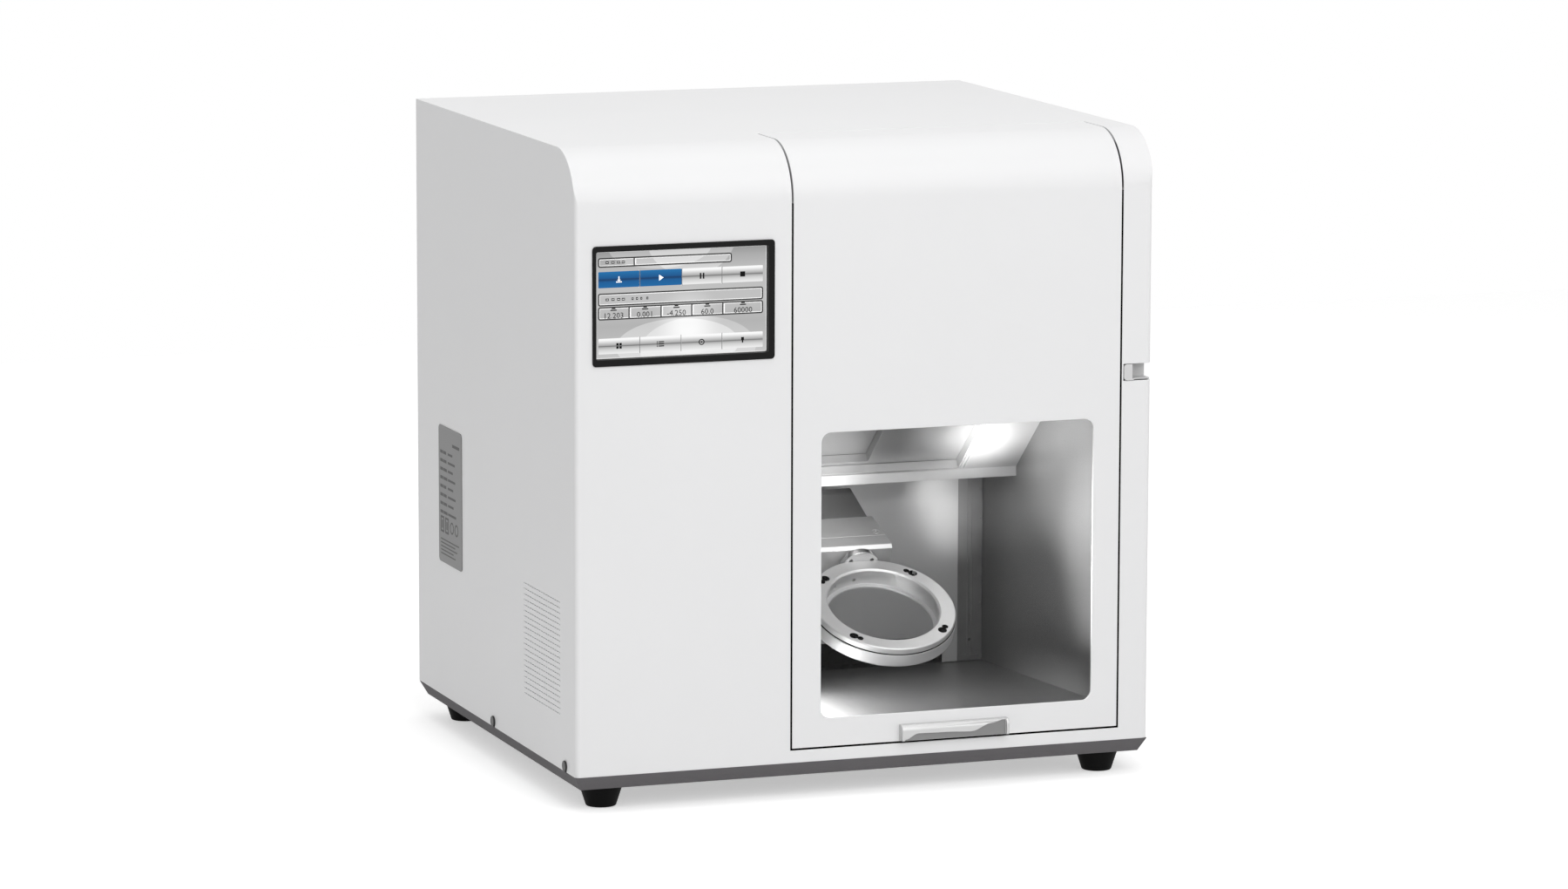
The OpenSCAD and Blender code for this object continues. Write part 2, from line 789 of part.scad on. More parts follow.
// Foot and two ears on the cover behind the door
module hinge_base(side) {
    x = hinge_x(side);
    slope = (cover_high - cover_low) / (cover_back - frame_d);
    z0 = cover_low + slope * (hinge_y - 14 - frame_d) + 0.2;
    z1 = cover_low + slope * (hinge_y + 14 - frame_d) + 0.2;
    color(dark_grey)
    difference() {
        union() {
            across(x, x + hinge_w)
                polygon([[hinge_y - 14, z0], [hinge_y + 14, z1], [hinge_y + 14, z1 + 4], [hinge_y - 14, z0 + 4]]);
            for (ex = [x, x + hinge_w - ear_t])
                across(ex, ex + ear_t)
                    polygon(concat([[hinge_y - 7, z0 + 3], [hinge_y + 7, z1 + 1]],
                        arc(hinge_y, hinge_z, 7, 0, 180, 12)));
        }
        rod_x(x - cut, x + hinge_w + cut, hinge_y, hinge_z, pin_d / 2 + 0.01);
    }
}

// Knuckle on a plate under the door's top sheet
module hinge_leaf(side) {
    x = hinge_x(side) + ear_t + slide_gap;
    top = shell_h - sheet_t;
    color(dark_grey)
    difference() {
        union() {
            across(x, x + knuckle_w)
                polygon(concat([[hinge_y - 9, top - 2], [hinge_y + 9, top - 2]],
                    arc(hinge_y, hinge_z, 7, 0, -180, 12)));
            block([x - 8, hinge_y - 12, top - 3], [x + knuckle_w + 8, hinge_y + 16, top]);
        }
        rod_x(x - cut, x + knuckle_w + cut, hinge_y, hinge_z, pin_d / 2 + pin_fit);
    }
}

// Headed pins
module hinge_pins() {
    color(steel)
    for (side = [-1, 1]) {
        x = hinge_x(side);
        rod_x(x - 1, x + hinge_w + 1, hinge_y, hinge_z, pin_d / 2);
        rod_x(x - 2.5, x - 0.1, hinge_y, hinge_z, pin_d / 2 + 1.5);
        rod_x(x + hinge_w + 0.1, x + hinge_w + 2.5, hinge_y, hinge_z, pin_d / 2 + 1.5);
    }
}

// Magnet that holds the door's lower fold shut
module door_magnet() {
    x = (door_x0 + door_x1) / 2;
    color(dark_grey)
    block([x - 20, door_rim + 0.3, door_z0], [x + 20, frame_d - 0.01, door_z0 + 12]);
}

// ---- Slides ----

// Two box posts and a cross plate that carry the X rail
module gantry_frame() {
    post = 36;
    y0 = beam_y + beam_d;
    color(steel)
    union() {
        for (x = [beam_x0, beam_x1 - post])
            difference() {
                block([x, y0, pan_z], [x + post, y0 + 24, beam_z + beam_h]);
                block([x + 4, y0 + 4, pan_z - cut], [x + post - 4, y0 + 20, beam_z + beam_h + cut]);
            }
        block([beam_x0 + post, y0, beam_z + 6], [beam_x1 - post, y0 + 8, beam_z + beam_h]);
    }
}

// Enclosed belt or screw module: a closed rail with a T groove along its working face
module x_module() {
    color([0.55, 0.56, 0.58])
    difference() {
        block([beam_x0, beam_y, beam_z], [beam_x1, beam_y + beam_d, beam_z + beam_h]);
        for (z = [beam_z + 10, beam_z + beam_h - 14])
            block([beam_x0 - cut, beam_y - cut, z], [beam_x1 + cut, beam_y + 6, z + 4]);
    }
}

module x_carriage() {
    color(bright_steel)
    union() {
        block([spin_x - 38, x_face, module_z - 12], [spin_x + 38, x_face + x_plate_t, module_z + beam_h - 6]);
        for (z = [beam_z + 10.3, beam_z + beam_h - 13.7])
            block([spin_x - 34, x_face + x_plate_t, z], [spin_x + 34, x_face + x_plate_t + 5, z + 3.4]);
    }
}

y_mod_w = 46;
module y_module() {
    y0 = spin_y + spindle_d / 2 - 10;
    color([0.55, 0.56, 0.58])
    difference() {
        block([spin_x - y_mod_w / 2, y0, module_z], [spin_x + y_mod_w / 2, x_face, module_z + y_mod_h]);
        for (x = [spin_x - 14, spin_x + 10])
            block([x, y0 - cut, module_z - cut], [x + 4, x_face - 20, module_z + 6]);
    }
}

module y_carriage() {
    y0 = spin_y + spindle_d / 2 + 4;
    z1 = module_z - slide_gap;
    color(bright_steel)
    union() {
        block([spin_x - 28, y0, z1 - 12], [spin_x + 28, y0 + 56, z1]);
        for (x = [spin_x - 13.7, spin_x + 10.3])
            block([x, y0 + 4, z1], [x + 3.4, y0 + 52, z1 + 5]);
    }
}

module z_module() {
    y0 = spin_y + spindle_d / 2 + 12;
    z1 = module_z - slide_gap - 12;
    color([0.55, 0.56, 0.58])
    difference() {
        block([spin_x - z_mod_w / 2, y0, z_mod_low], [spin_x + z_mod_w / 2, y0 + z_mod_d, z1]);
        for (x = [spin_x - 14, spin_x + 10])
            block([x, y0 - cut, z_mod_low - cut], [x + 4, y0 + 6, z1 + cut]);
    }
}

// Clamp block that slides on the Z module and grips the spindle
grip = spindle_d / 2 + 4;
module z_carriage() {
    y0 = spin_y + spindle_d / 2 + 12 - slide_gap;
    color(bright_steel)
    difference() {
        union() {
            block([spin_x - grip, spin_y - grip, clamp_z0], [spin_x + grip, y0, clamp_z0 + clamp_h]);
            for (x = [spin_x - 13.7, spin_x + 10.3])
                block([x, y0, clamp_z0], [x + 3.4, y0 + 5, clamp_z0 + clamp_h]);
        }
        rod_z(clamp_z0 - cut, clamp_z0 + clamp_h + cut, spin_x, spin_y, spindle_d / 2 + 0.01);
        block([spin_x - 1, spin_y - grip - cut, clamp_z0 - cut], [spin_x + 1, spin_y, clamp_z0 + clamp_h + cut]);
        for (z = [clamp_z0 + 10, clamp_z0 + clamp_h - 10])
            rod_x(spin_x - grip - cut, spin_x + grip + cut, spin_y - grip + 2, z, 1.6);
    }
}

// Spindle body: a turned barrel that necks down to its nose, bored for the rotor
module spindle_body() {
    r = spindle_d / 2;
    top = clamp_z0 + clamp_h + 7 - nose_z;
    color(bright_steel)
    translate([spin_x, yf(spin_y), zs(nose_z)])
        rotate_extrude()
            polygon([[6 + bore_gap, 0], [10, 0], [11, 1], [11, 9], [r - 3, 14], [r, 20], [r, 96], [r - 0.8, 97],
                [r - 0.8, 99], [r, 100], [r, top - 3], [r - 3, top], [6 + bore_gap, top]]);
}

// Rotor shaft with its collet nut
module spindle_rotor() {
    top = clamp_z0 + clamp_h + 5 - nose_z;
    color([0.3, 0.3, 0.32])
    translate([spin_x, yf(spin_y), zs(nose_z)])
        rotate_extrude()
            polygon([[1.6, -9], [5, -9], [6.5, -7], [8, -3], [8, -1], [6, -1], [6, top], [0, top], [0, 4], [1.6, 4]]);
}

// Milling bur: shank, neck, flutes and a round end
module milling_tool() {
    color(steel)
    translate([spin_x, yf(spin_y), zs(nose_z)])
        rotate_extrude($fn = 32)
            polygon(concat([[0, 3.5], [0, -26]], arc(0, -25, 1, -80, 0, 6),
                [[1, -16], [1.58, -14], [1.58, 3.5]]));
}

// Bent bracket from the Y module's underside down to the inner cover
module cover_bracket() {
    down = [cos(ceiling_a), -sin(ceiling_a)];
    seat = [lip_d, lip_top] + in_w1 * [sin(ceiling_a), cos(ceiling_a)];
    rise = pocket_h + 14;
    back = x_face - 18;
    color(steel)
    across(spin_x - 30, spin_x + 30)
        folded([seat - 12 * down, seat - 2 * down, [seat[0] + 0.5, rise], [back, rise], [back, module_z]], 0, 2);
}

// ---- Rotary unit ----

// Turns the arm's own frame (x from the holder centre, s back along the arm, n up from its plane) to rest
module on_arm() {
    translate([hold_x, yf(holder_y), zs(holder_z)])
        rotate([rest_tilt, 0, 0])
            children();
}

cap_s = 15.5;
strip_s = 42;
cover_t = 3;
strip_right = arm_right - 5;
panel_right = strip_right - 4.5;
panel_taper = 8;
panel_rise = 10;
// Cast C-shaped arm: the side member turns on the A shaft, the back member holds the B drive
module swing_arm() {
    h = arm_h / 2;
    color([0.7, 0.7, 0.71])
    union() {
        on_arm() difference() {
            union() {
                translate([0, 0, -h])
                    linear_extrude(arm_h)
                        polygon(concat(
                            [[arm_right, arm_front]],
                            arc(arm_inner + arm_round, arm_front - arm_round, arm_round, 90, 180, 12),
                            [[arm_inner, -10], [arm_outer, -10], [arm_outer, arm_back],
                            [panel_right - panel_taper, arm_back], [panel_right, arm_front + strip_s],
                            [strip_right, arm_front + strip_s], [arm_right - 1.6, arm_front + cap_s]]));
                translate([arm_outer, 0, 0])
                    rotate([0, 90, 0]) cylinder(r = boss_r, h = arm_inner - arm_outer);
            }
            // Bevel along the front edge of the back member
            translate([arm_inner, arm_front, h])
                rotate([45, 0, 0])
                    translate([-30, -2, -2]) cube([160, 4, 4]);
            // Seat of the cover
            translate([arm_outer - cut, arm_front + cap_s, h - cover_t])
                cube([arm_right - arm_outer + 2 * cut, arm_back, cover_t + cut]);
            // Bore of the hub shaft
            translate([0, arm_front - cut, 0])
                rotate([-90, 0, 0]) cylinder(r = 8 + bore_gap, h = 50);
        }
        // A shaft, through the chamber's left wall to the gearbox
        rod_x(wall_x0 - 14, hold_x + arm_outer + 1, holder_y, holder_z, shaft_r);
    }
}

// Lid over the B drive: a screwed strip and a hood behind it that rises over the motor
module arm_cover() {
    s0 = arm_front + cap_s + 0.1;
    s1 = arm_front + strip_s;
    color([0.62, 0.62, 0.62])
    on_arm()
        translate([0, 0, arm_h / 2 - cover_t]) {
            difference() {
                linear_extrude(cover_t)
                    polygon([[arm_right - 1.6, s0], [strip_right, s1], [arm_outer, s1], [arm_outer, s0]]);
                for (x = [arm_right - 9, arm_inner + 14])
                    translate([x, s0 + 5, cover_t - 0.7]) cylinder(r = 3, h = 1 + cut);
            }
            for (x = [arm_right - 9, arm_inner + 14])
                translate([x, s0 + 5, cover_t - 0.7])
                    difference() {
                        cylinder(r = 2.5, h = 0.9);
                        translate([0, 0, 0.3]) cylinder(r = 1.2, h = 1, $fn = 6);
                    }
            intersection() {
                linear_extrude(cover_t + panel_rise)
                    polygon([[panel_right, s1 + slide_gap], [panel_right - panel_taper, arm_back],
                        [arm_outer, arm_back], [arm_outer, s1 + slide_gap]]);
                translate([arm_outer - cut, 0, 0])
                    rotate([90, 0, 90])
                        linear_extrude(arm_right - arm_outer + cut)
                            polygon([[s1, 0], [arm_back, 0], [arm_back, cover_t + panel_rise], [s1, cover_t - 0.5]]);
            }
        }
}

// Hub flange and its shaft, turned in one piece; it carries the holder's flat
module ring_hub() {
    color(bright_steel)
    on_arm()
        translate([0, hub_face, 0])
            rotate([-90, 0, 0])
                difference() {
                    union() {
                        cylinder(r = hub_r, h = 6);
                        cylinder(r = 12, h = arm_front - hub_face - slide_gap);
                        cylinder(r = 8, h = 50);
                    }
                    for (a = [45:90:315])
                        rotate([0, 0, a]) translate([13.5, 0, -cut]) cylinder(r = 1.6, h = 8, $fn = 24);
                }
}

seam_bevel = 0.6;
// Lower ring: seat for the disc's shoulder, a ledge under it and a flat for the hub
module disc_holder() {
    r = holder_r;
    z0 = -ring_t / 2;
    color(bright_steel)
    on_arm() difference() {
        union() {
            translate([0, 0, z0])
                rotate_extrude($fn = 96)
                    polygon([[0, 0], [r - seam_bevel, 0], [r, seam_bevel], [r, holder_t - seam_bevel],
                        [r - seam_bevel, holder_t], [0, holder_t]]);
            // Pad behind the ring that takes the hub screws
            translate([-hub_r, 0, z0]) cube([2 * hub_r, hub_face, ring_t - clamp_t]);
        }
        translate([0, 0, z0 - cut]) cylinder(r = seat_d / 2 - ledge_lap, h = holder_t + 2 * cut, $fn = 96);
        translate([0, 0, z0 + holder_t - disc_t]) cylinder(r = seat_d / 2, h = disc_t + cut, $fn = 96);
        translate([-r, hub_face, z0 - cut]) cube([2 * r, 20, ring_t + 2 * cut]);
        for (a = [45:90:315])
            rotate([0, 0, a]) translate([r - 7, 0, z0 + 2]) cylinder(r = 1.7, h = holder_t, $fn = 24);
        for (a = [100, 125])
            translate([0, 0, z0 + holder_t / 2 + 1])
                rotate([0, 90, a]) cylinder(r = 1.5, h = 70, $fn = 24);
        for (x = [-9.5, 9.5])
            translate([x, hub_face - 10, 0]) rotate([-90, 0, 0]) cylinder(r = 1.3, h = 12, $fn = 24);
    }
}

// Clamp ring with four keyhole slots, released by a short turn
clamp_step = 1;
module clamp_ring() {
    r = holder_r - clamp_step;
    open_r = seat_d / 2 - clamp_lap;
    z0 = ring_t / 2 - clamp_t;
    color([0.72, 0.72, 0.73])
    on_arm() difference() {
        translate([0, 0, z0])
            rotate_extrude($fn = 96)
                polygon([[open_r, 0], [r - seam_bevel, 0], [r, seam_bevel], [r, clamp_t - 0.8],
                    [r - 0.8, clamp_t], [open_r + 1.5, clamp_t], [open_r, clamp_t - 1.5]]);
        translate([-r, hub_face, z0 - cut]) cube([2 * r, 20, ring_t]);
        for (a = [45:90:315])
            for (lobe = [[0, 3.8], [6, 2.6]])
                rotate([0, 0, a + lobe[0]])
                    translate([holder_r - 7, 0, z0 - cut])
                        cylinder(r = lobe[1], h = clamp_t + 2 * cut, $fn = 24);
    }
}

// Screws that hold the clamp ring down, one in each keyhole
module clamp_screws() {
    color(dark_grey)
    on_arm()
        for (a = [45:90:315])
            rotate([0, 0, a]) translate([holder_r - 7, 0, 0]) difference() {
                union() {
                    translate([0, 0, -ring_t / 2 + 3]) cylinder(r = 1.65, h = holder_t, $fn = 24);
                    translate([0, 0, ring_t / 2 - clamp_t]) cylinder(r = 3.1, h = clamp_t - 3, $fn = 24);
                }
                translate([0, 0, ring_t / 2 - 4.5]) cylinder(r = 1.5, h = 4, $fn = 6);
            }
}

gear_w = 90;
// Geared A drive on its pedestal, with the motor behind it
module a_gearbox() {
    x1 = wall_x0 - liner_t - 2;
    x0 = x1 - gear_w;
    color(dark_grey)
    difference() {
        union() {
            block([x0, holder_y - 40, holder_z - 40], [x1 - 8, holder_y + 40, holder_z + 40]);
            rod_x(x1 - 8, x1, holder_y, holder_z, 34);
            block([x0 + 4, holder_y - 32, pan_z], [x1 - 14, holder_y + 32, holder_z - 39]);
            rod_x(x0 - 48, x0, holder_y, holder_z, 28);
        }
        rod_x(x1 - 24, x1 + cut, holder_y, holder_z, shaft_r + bore_gap);
    }
}

// ---- Rear and inside ----

module control_box() {
    color([0.5, 0.52, 0.5])
    block([-half_w + 14, 236, pan_z], [-half_w + 144, 300, 220]);
}

module power_supply() {
    x0 = wall_x0 - 92;
    color(bright_steel)
    difference() {
        block([x0, chamber_d + 19, pan_z], [x0 + 90, chamber_d + 79, pan_z + 130]);
        for (i = [0:8], j = [0:5])
            rod_x(x0 - cut, x0 + 3, chamber_d + 27 + i * 5.6, pan_z + 20 + j * 16, 1.8);
    }
}

// Collector behind the chamber's dust slot, with a round neck for the spigot
module dust_plenum() {
    y0 = chamber_d + liner_t;
    y1 = y0 + 46;
    color([0.2, 0.2, 0.21])
    difference() {
        union() {
            across(slot_x0 - 6, slot_x1 + 6)
                polygon([[y0, slot_z0 - 5], [y1, slot_z0 - 5], [y1, slot_z1 + 36], [y0, slot_z1 + 5]]);
            rod_y(y1 - cut, y1 + 30, spigot_x, spigot_z, spigot_r - 2.1);
        }
        across(slot_x0 - 3, slot_x1 + 3)
            polygon([[y0 - cut, slot_z0 - 2], [y1 - 3, slot_z0 - 2], [y1 - 3, slot_z1 + 31], [y0 - cut, slot_z1 + 1.4]]);
        rod_y(y1 - 4, y1 + 30 + cut, spigot_x, spigot_z, spigot_r - 4.6);
    }
}

// Hose spigot on the rear panel
module dust_spigot() {
    y0 = chamber_d + liner_t + 46 + 4;
    color([0.2, 0.2, 0.21])
    difference() {
        union() {
            rod_y(y0, body_d + spigot_out, spigot_x, spigot_z, spigot_r);
            rod_y(body_d, body_d + 3, spigot_x, spigot_z, spigot_r + 7);
        }
        rod_y(y0 - cut, body_d + spigot_out + cut, spigot_x, spigot_z, spigot_r - 2);
    }
}

// Mains inlet with a well for the rocker
module power_inlet() {
    y = body_d;
    w = inlet_w / 2;
    h = inlet_h / 2;
    color(rubber)
    union() {
        difference() {
            union() {
                round_slab(inlet_x - w - 3, inlet_x + w + 3, inlet_z - h - 3, inlet_z + h + 3, y, y + 2.5, 3);
                block([inlet_x - w + 0.2, y - 24, inlet_z - h + 0.2], [inlet_x + w - 0.2, y, inlet_z + h - 0.2]);
            }
            block([inlet_x - 12, y - 14, inlet_z - h + 5], [inlet_x + 12, y + 3, inlet_z - h + 22]);
            block([inlet_x - switch_w / 2 - 0.3, y - 12, switch_z - switch_h / 2 - 1.8],
                [inlet_x + switch_w / 2 + 0.3, y + 3, switch_z + switch_h / 2 + 1.8]);
        }
        rod_x(inlet_x - switch_w / 2 - 1, inlet_x + switch_w / 2 + 1, y - switch_back, switch_z, 1.5);
        // Contact blades
        for (x = [inlet_x - 6, inlet_x, inlet_x + 6])
            block([x - 1, y - 15, inlet_z - h + 11], [x + 1, y - 4, inlet_z - h + 16]);
    }
}

// Rocker, turning on a bar in its well
module power_switch() {
    y = body_d - switch_back;
    h = switch_h / 2;
    color([0.6, 0.05, 0.05])
    difference() {
        across(inlet_x - switch_w / 2, inlet_x + switch_w / 2)
            polygon([[y - 3, switch_z - h + 2], [y + 6.4, switch_z - h + 0.9], [y + 4.2, switch_z],
                [y + 3.6, switch_z + h - 0.9], [y - 3, switch_z + h - 2], [y - 5, switch_z]]);
        rod_x(inlet_x - switch_w, inlet_x + switch_w, y, switch_z, 1.55);
    }
}

module air_fitting() {
    color([0.75, 0.65, 0.35])
    difference() {
        union() {
            rod_y(body_d - 16, body_d, air_x, air_z, 6);
            rod_y(body_d, body_d + 4, air_x, air_z, 9);
            rod_y(body_d + 4, body_d + 16, air_x, air_z, 7);
        }
        rod_y(body_d - 17, body_d + 17, air_x, air_z, 3.05);
    }
}

module fan_frame() {
    y1 = body_d - rear_t;
    y0 = y1 - fan_t;
    w = fan_w / 2;
    color(rubber)
    difference() {
        union() {
            difference() {
                round_slab(fan_x - w, fan_x + w, fan_z - w, fan_z + w, y0, y1, 4);
                rod_y(y0 - cut, y1 + cut, fan_x, fan_z, w - 2);
                for (dx = [-1, 1], dz = [-1, 1])
                    rod_y(y0 - cut, y1 + cut, fan_x + dx * 35.75, fan_z + dz * 35.75, 2.2);
            }
            // Motor base on three struts
            rod_y(y0, y0 + 3, fan_x, fan_z, 14);
            for (a = [90, 210, 330])
                translate([fan_x, yf(y0), zs(fan_z)])
                    rotate([0, a, 0]) translate([11, 0.4, -1.5]) cube([w - 12, 2.2, 3]);
        }
        rod_y(y0 - cut, y0 + 3 + cut, fan_x, fan_z, 2.05);
    }
}

blades = 7;
module fan_rotor() {
    y1 = body_d - rear_t;
    y0 = y1 - fan_t;
    color(dark_grey)
    union() {
        rod_y(y0 + 0.5, y1 - 2, fan_x, fan_z, 2);
        rod_y(y0 + 3.5, y1 - 2, fan_x, fan_z, 15);
        for (i = [0:blades - 1])
            translate([fan_x, yf(y0 + 12.5), zs(fan_z)])
                rotate([0, i * 360 / blades, 0])
                    rotate([38, 0, 0]) translate([13, -9, -0.8]) cube([22.5, 16, 1.6]);
    }
}

// Wire finger guard over the fan
module fan_guard() {
    y1 = body_d + 1.1;
    color(steel)
    union() {
        for (r = [10, 19, 28, 37])
            translate([fan_x, yf(y1), zs(fan_z)])
                rotate([90, 0, 0]) rotate_extrude($fn = 48) translate([r, 0]) circle(r = 1, $fn = 16);
        for (a = [45, 135])
            translate([fan_x, yf(y1 + 0.6), zs(fan_z)])
                rotate([0, a, 0]) translate([-49, -0.6, -1]) cube([98, 1.4, 2]);
    }
}

base_pan();
foot(-half_w + foot_edge, foot_edge);  // foot_front_left
foot(half_w - foot_edge, foot_edge);  // foot_front_right
foot(-half_w + foot_edge, body_d - foot_edge);  // foot_rear_left
foot(half_w - foot_edge, body_d - foot_edge);  // foot_rear_right
hood();
hem_screws();
rear_panel();
screen_bezel();
touch_screen();
screen_controller();
rating_plate();
data_port();
front_frame();
chamber_floor();
chamber_left_wall();
chamber_right_wall();
chamber_back_panel();
chamber_back_wall();
chamber_ceiling();
hinge_base(-1);  // hinge_base_left
hinge_base(1);  // hinge_base_right
hinge_pins();
door_magnet();
gantry_frame();
x_module();
a_gearbox();
control_box();
power_supply();
dust_plenum();
dust_spigot();
power_inlet();
power_switch();
air_fitting();
fan_frame();
fan_guard();
fan_rotor();
door_skin();
window_pane();
window_gasket();
door_handle();
hinge_leaf(-1);  // hinge_leaf_left
hinge_leaf(1);  // hinge_leaf_right
x_carriage();
y_module();
cover_bracket();
inner_cover_plate();
middle_cover_plate();
y_carriage();
z_module();
z_carriage();
spindle_body();
spindle_rotor();
milling_tool();
swing_arm();
arm_cover();
ring_hub();
disc_holder();
clamp_ring();
clamp_screws();
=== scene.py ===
"""Looks of the desktop dental milling machine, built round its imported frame."""

import json
import logging
import math
from dataclasses import dataclass, field
from enum import Enum
from typing import Sequence

import bmesh
import bpy
from bmesh.types import BMesh, BMVert
from bpy.types import ID, Light, Material, Mesh, Node, NodeSocket, NodeTree, Object
from mathutils import Matrix, Vector


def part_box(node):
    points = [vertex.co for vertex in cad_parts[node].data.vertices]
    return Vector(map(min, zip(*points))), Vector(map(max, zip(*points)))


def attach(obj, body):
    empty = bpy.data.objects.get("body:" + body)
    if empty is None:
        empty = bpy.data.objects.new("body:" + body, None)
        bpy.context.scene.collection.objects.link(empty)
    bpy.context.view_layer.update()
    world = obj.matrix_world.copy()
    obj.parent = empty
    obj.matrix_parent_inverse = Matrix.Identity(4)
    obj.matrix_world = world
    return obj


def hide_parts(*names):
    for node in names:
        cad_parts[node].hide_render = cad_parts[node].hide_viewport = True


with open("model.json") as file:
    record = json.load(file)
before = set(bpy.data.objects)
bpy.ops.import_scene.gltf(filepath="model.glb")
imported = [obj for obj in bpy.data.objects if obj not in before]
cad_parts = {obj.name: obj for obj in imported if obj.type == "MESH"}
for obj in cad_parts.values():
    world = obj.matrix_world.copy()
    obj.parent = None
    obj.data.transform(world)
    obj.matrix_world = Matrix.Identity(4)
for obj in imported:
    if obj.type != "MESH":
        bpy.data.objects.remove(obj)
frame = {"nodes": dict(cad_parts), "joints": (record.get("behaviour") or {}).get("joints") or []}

LOG = logging.getLogger("milling_machine")
MM = 0.001
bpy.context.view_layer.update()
WHITE = (1.0, 1.0, 1.0, 1.0)
Colour = tuple[float, float, float]
Place = tuple[float, float, float]
Point = tuple[float, float]


def feed(tree: NodeTree, node: Node, inputs: dict[str | int, object]) -> None:
    """Set a node's inputs.

    Args:
        tree: the tree it is in.
        node: the node.
        inputs: for each input, the socket that it is linked to or its constant.
    """
    for name, value in inputs.items():
        if isinstance(value, NodeSocket):
            tree.links.new(value, node.inputs[name])
        else:
            node.inputs[name].default_value = value


def add_node(tree: NodeTree, kind: str, inputs: dict[str | int, object] | None = None,
             **options: str) -> Node:
    """Add a node to a tree.

    Args:
        tree: the tree it goes in.
        kind: the node's type.
        inputs: for each input, the socket that it is linked to or its constant.
        options: the node's own options, which are set before its inputs.
    Returns:
        The node.
    """
    node = tree.nodes.new(kind)
    for name, value in options.items():
        setattr(node, name, value)
    feed(tree, node, inputs or {})
    return node


class Axis(Enum):
    """Direction along which a sheet was brushed, as the factors that draw its grain out."""

    ALL = (1.0, 1.0, 1.0)
    X = (0.03, 1.0, 1.0)
    Y = (1.0, 0.03, 1.0)
    Z = (1.0, 1.0, 0.03)


class Surface:
    """Anything that a piece can be finished with: a named material that is built once."""

    name: str

    def material(self) -> Material:
        """Build the material, unless it was built before.

        Returns:
            The material.
        """
        made = bpy.data.materials.get(self.name)
        if not made:
            made = bpy.data.materials.new(self.name)
            made.use_nodes = True
            self.paint(made, made.node_tree, made.node_tree.nodes["Principled BSDF"])
        return made

    def paint(self, made: Material, tree: NodeTree, shader: Node) -> None:
        """Set the new material's shader.

        Args:
            made: the material.
            tree: its node tree.
            shader: its shader.
        """


@dataclass(frozen=True)
class Finish(Surface):
    """A surface finish: its colour, gloss and the fine relief that it has.

    grain and mottle are features per metre, relief is the grain's depth in metres.
    """

    name: str
    colour: Colour
    roughness: float = 0.5
    metallic: float = 0.0
    grain: float = 0.0
    relief: float = 0.0
    mottle: float = 0.0
    shade: float = 0.0
    specular: float = 0.5
    coat: float = 0.0
    alpha: float = 1.0
    glow: float = 0.0
    run: Axis = Axis.ALL

    def paint(self, made: Material, tree: NodeTree, shader: Node) -> None:
        """Set the shader, then add relief, mottling and glow where the finish has them.

        Args:
            made: the material.
            tree: its node tree.
            shader: its shader.
        """
        colour = (*self.colour, 1.0)
        made.diffuse_color = colour
        feed(tree, shader, {
            "Base Color": colour, "Roughness": self.roughness, "Metallic": self.metallic,
            "Specular IOR Level": self.specular, "Coat Weight": self.coat, "Alpha": self.alpha,
        })
        if self.glow:
            feed(tree, shader, {"Emission Color": colour, "Emission Strength": self.glow})
        if self.grain:
            self._relief(tree, shader)
        if self.mottle:
            self._mottle(tree, shader)

    def _noise(self, tree: NodeTree, scale: float, detail: float) -> NodeSocket:
        """Noise on Object coordinates that are drawn out along the grain.

        Args:
            tree: the material's node tree.
            scale: the noise's features per metre.
            detail: how many finer layers it has.
        Returns:
            The noise's output.
        """
        place = add_node(tree, "ShaderNodeTexCoord").outputs["Object"]
        drawn = add_node(tree, "ShaderNodeMapping", {"Vector": place, "Scale": self.run.value})
        inputs = {"Vector": drawn.outputs["Vector"], "Scale": scale, "Detail": detail}
        return add_node(tree, "ShaderNodeTexNoise", inputs).outputs["Fac"]

    def _relief(self, tree: NodeTree, shader: Node, swing: float = 0.06) -> None:
        """Fine relief from noise, with a little of it in the gloss.

        Args:
            tree: the material's node tree.
            shader: its shader.
            swing: how far the roughness goes either way.
        """
        noise = self._noise(tree, self.grain, 3.0)
        bump = add_node(tree, "ShaderNodeBump", {"Height": noise, "Strength": 1.0, "Distance": self.relief})
        gloss = add_node(tree, "ShaderNodeMapRange", {
            "Value": noise, "To Min": max(self.roughness - swing, 0.02), "To Max": self.roughness + swing,
        })
        feed(tree, shader, {"Normal": bump.outputs["Normal"], "Roughness": gloss.outputs["Result"]})

    def _mottle(self, tree: NodeTree, shader: Node) -> None:
        """Slow changes of shade across the surface.

        Args:
            tree: the material's node tree.
            shader: its shader.
        """
        dark = tuple(c * (1.0 - self.shade) for c in self.colour)
        light = tuple(min(c * (1.0 + self.shade), 1.0) for c in self.colour)
        inputs = {"A": (*dark, 1.0), "B": (*light, 1.0), "Factor": self._noise(tree, self.mottle, 4.0)}
        mix = add_node(tree, "ShaderNodeMix", inputs, data_type="RGBA")
        feed(tree, shader, {"Base Color": mix.outputs["Result"]})


def grey(value: float) -> Colour:
    """A neutral colour."""
    return (value, value, value)


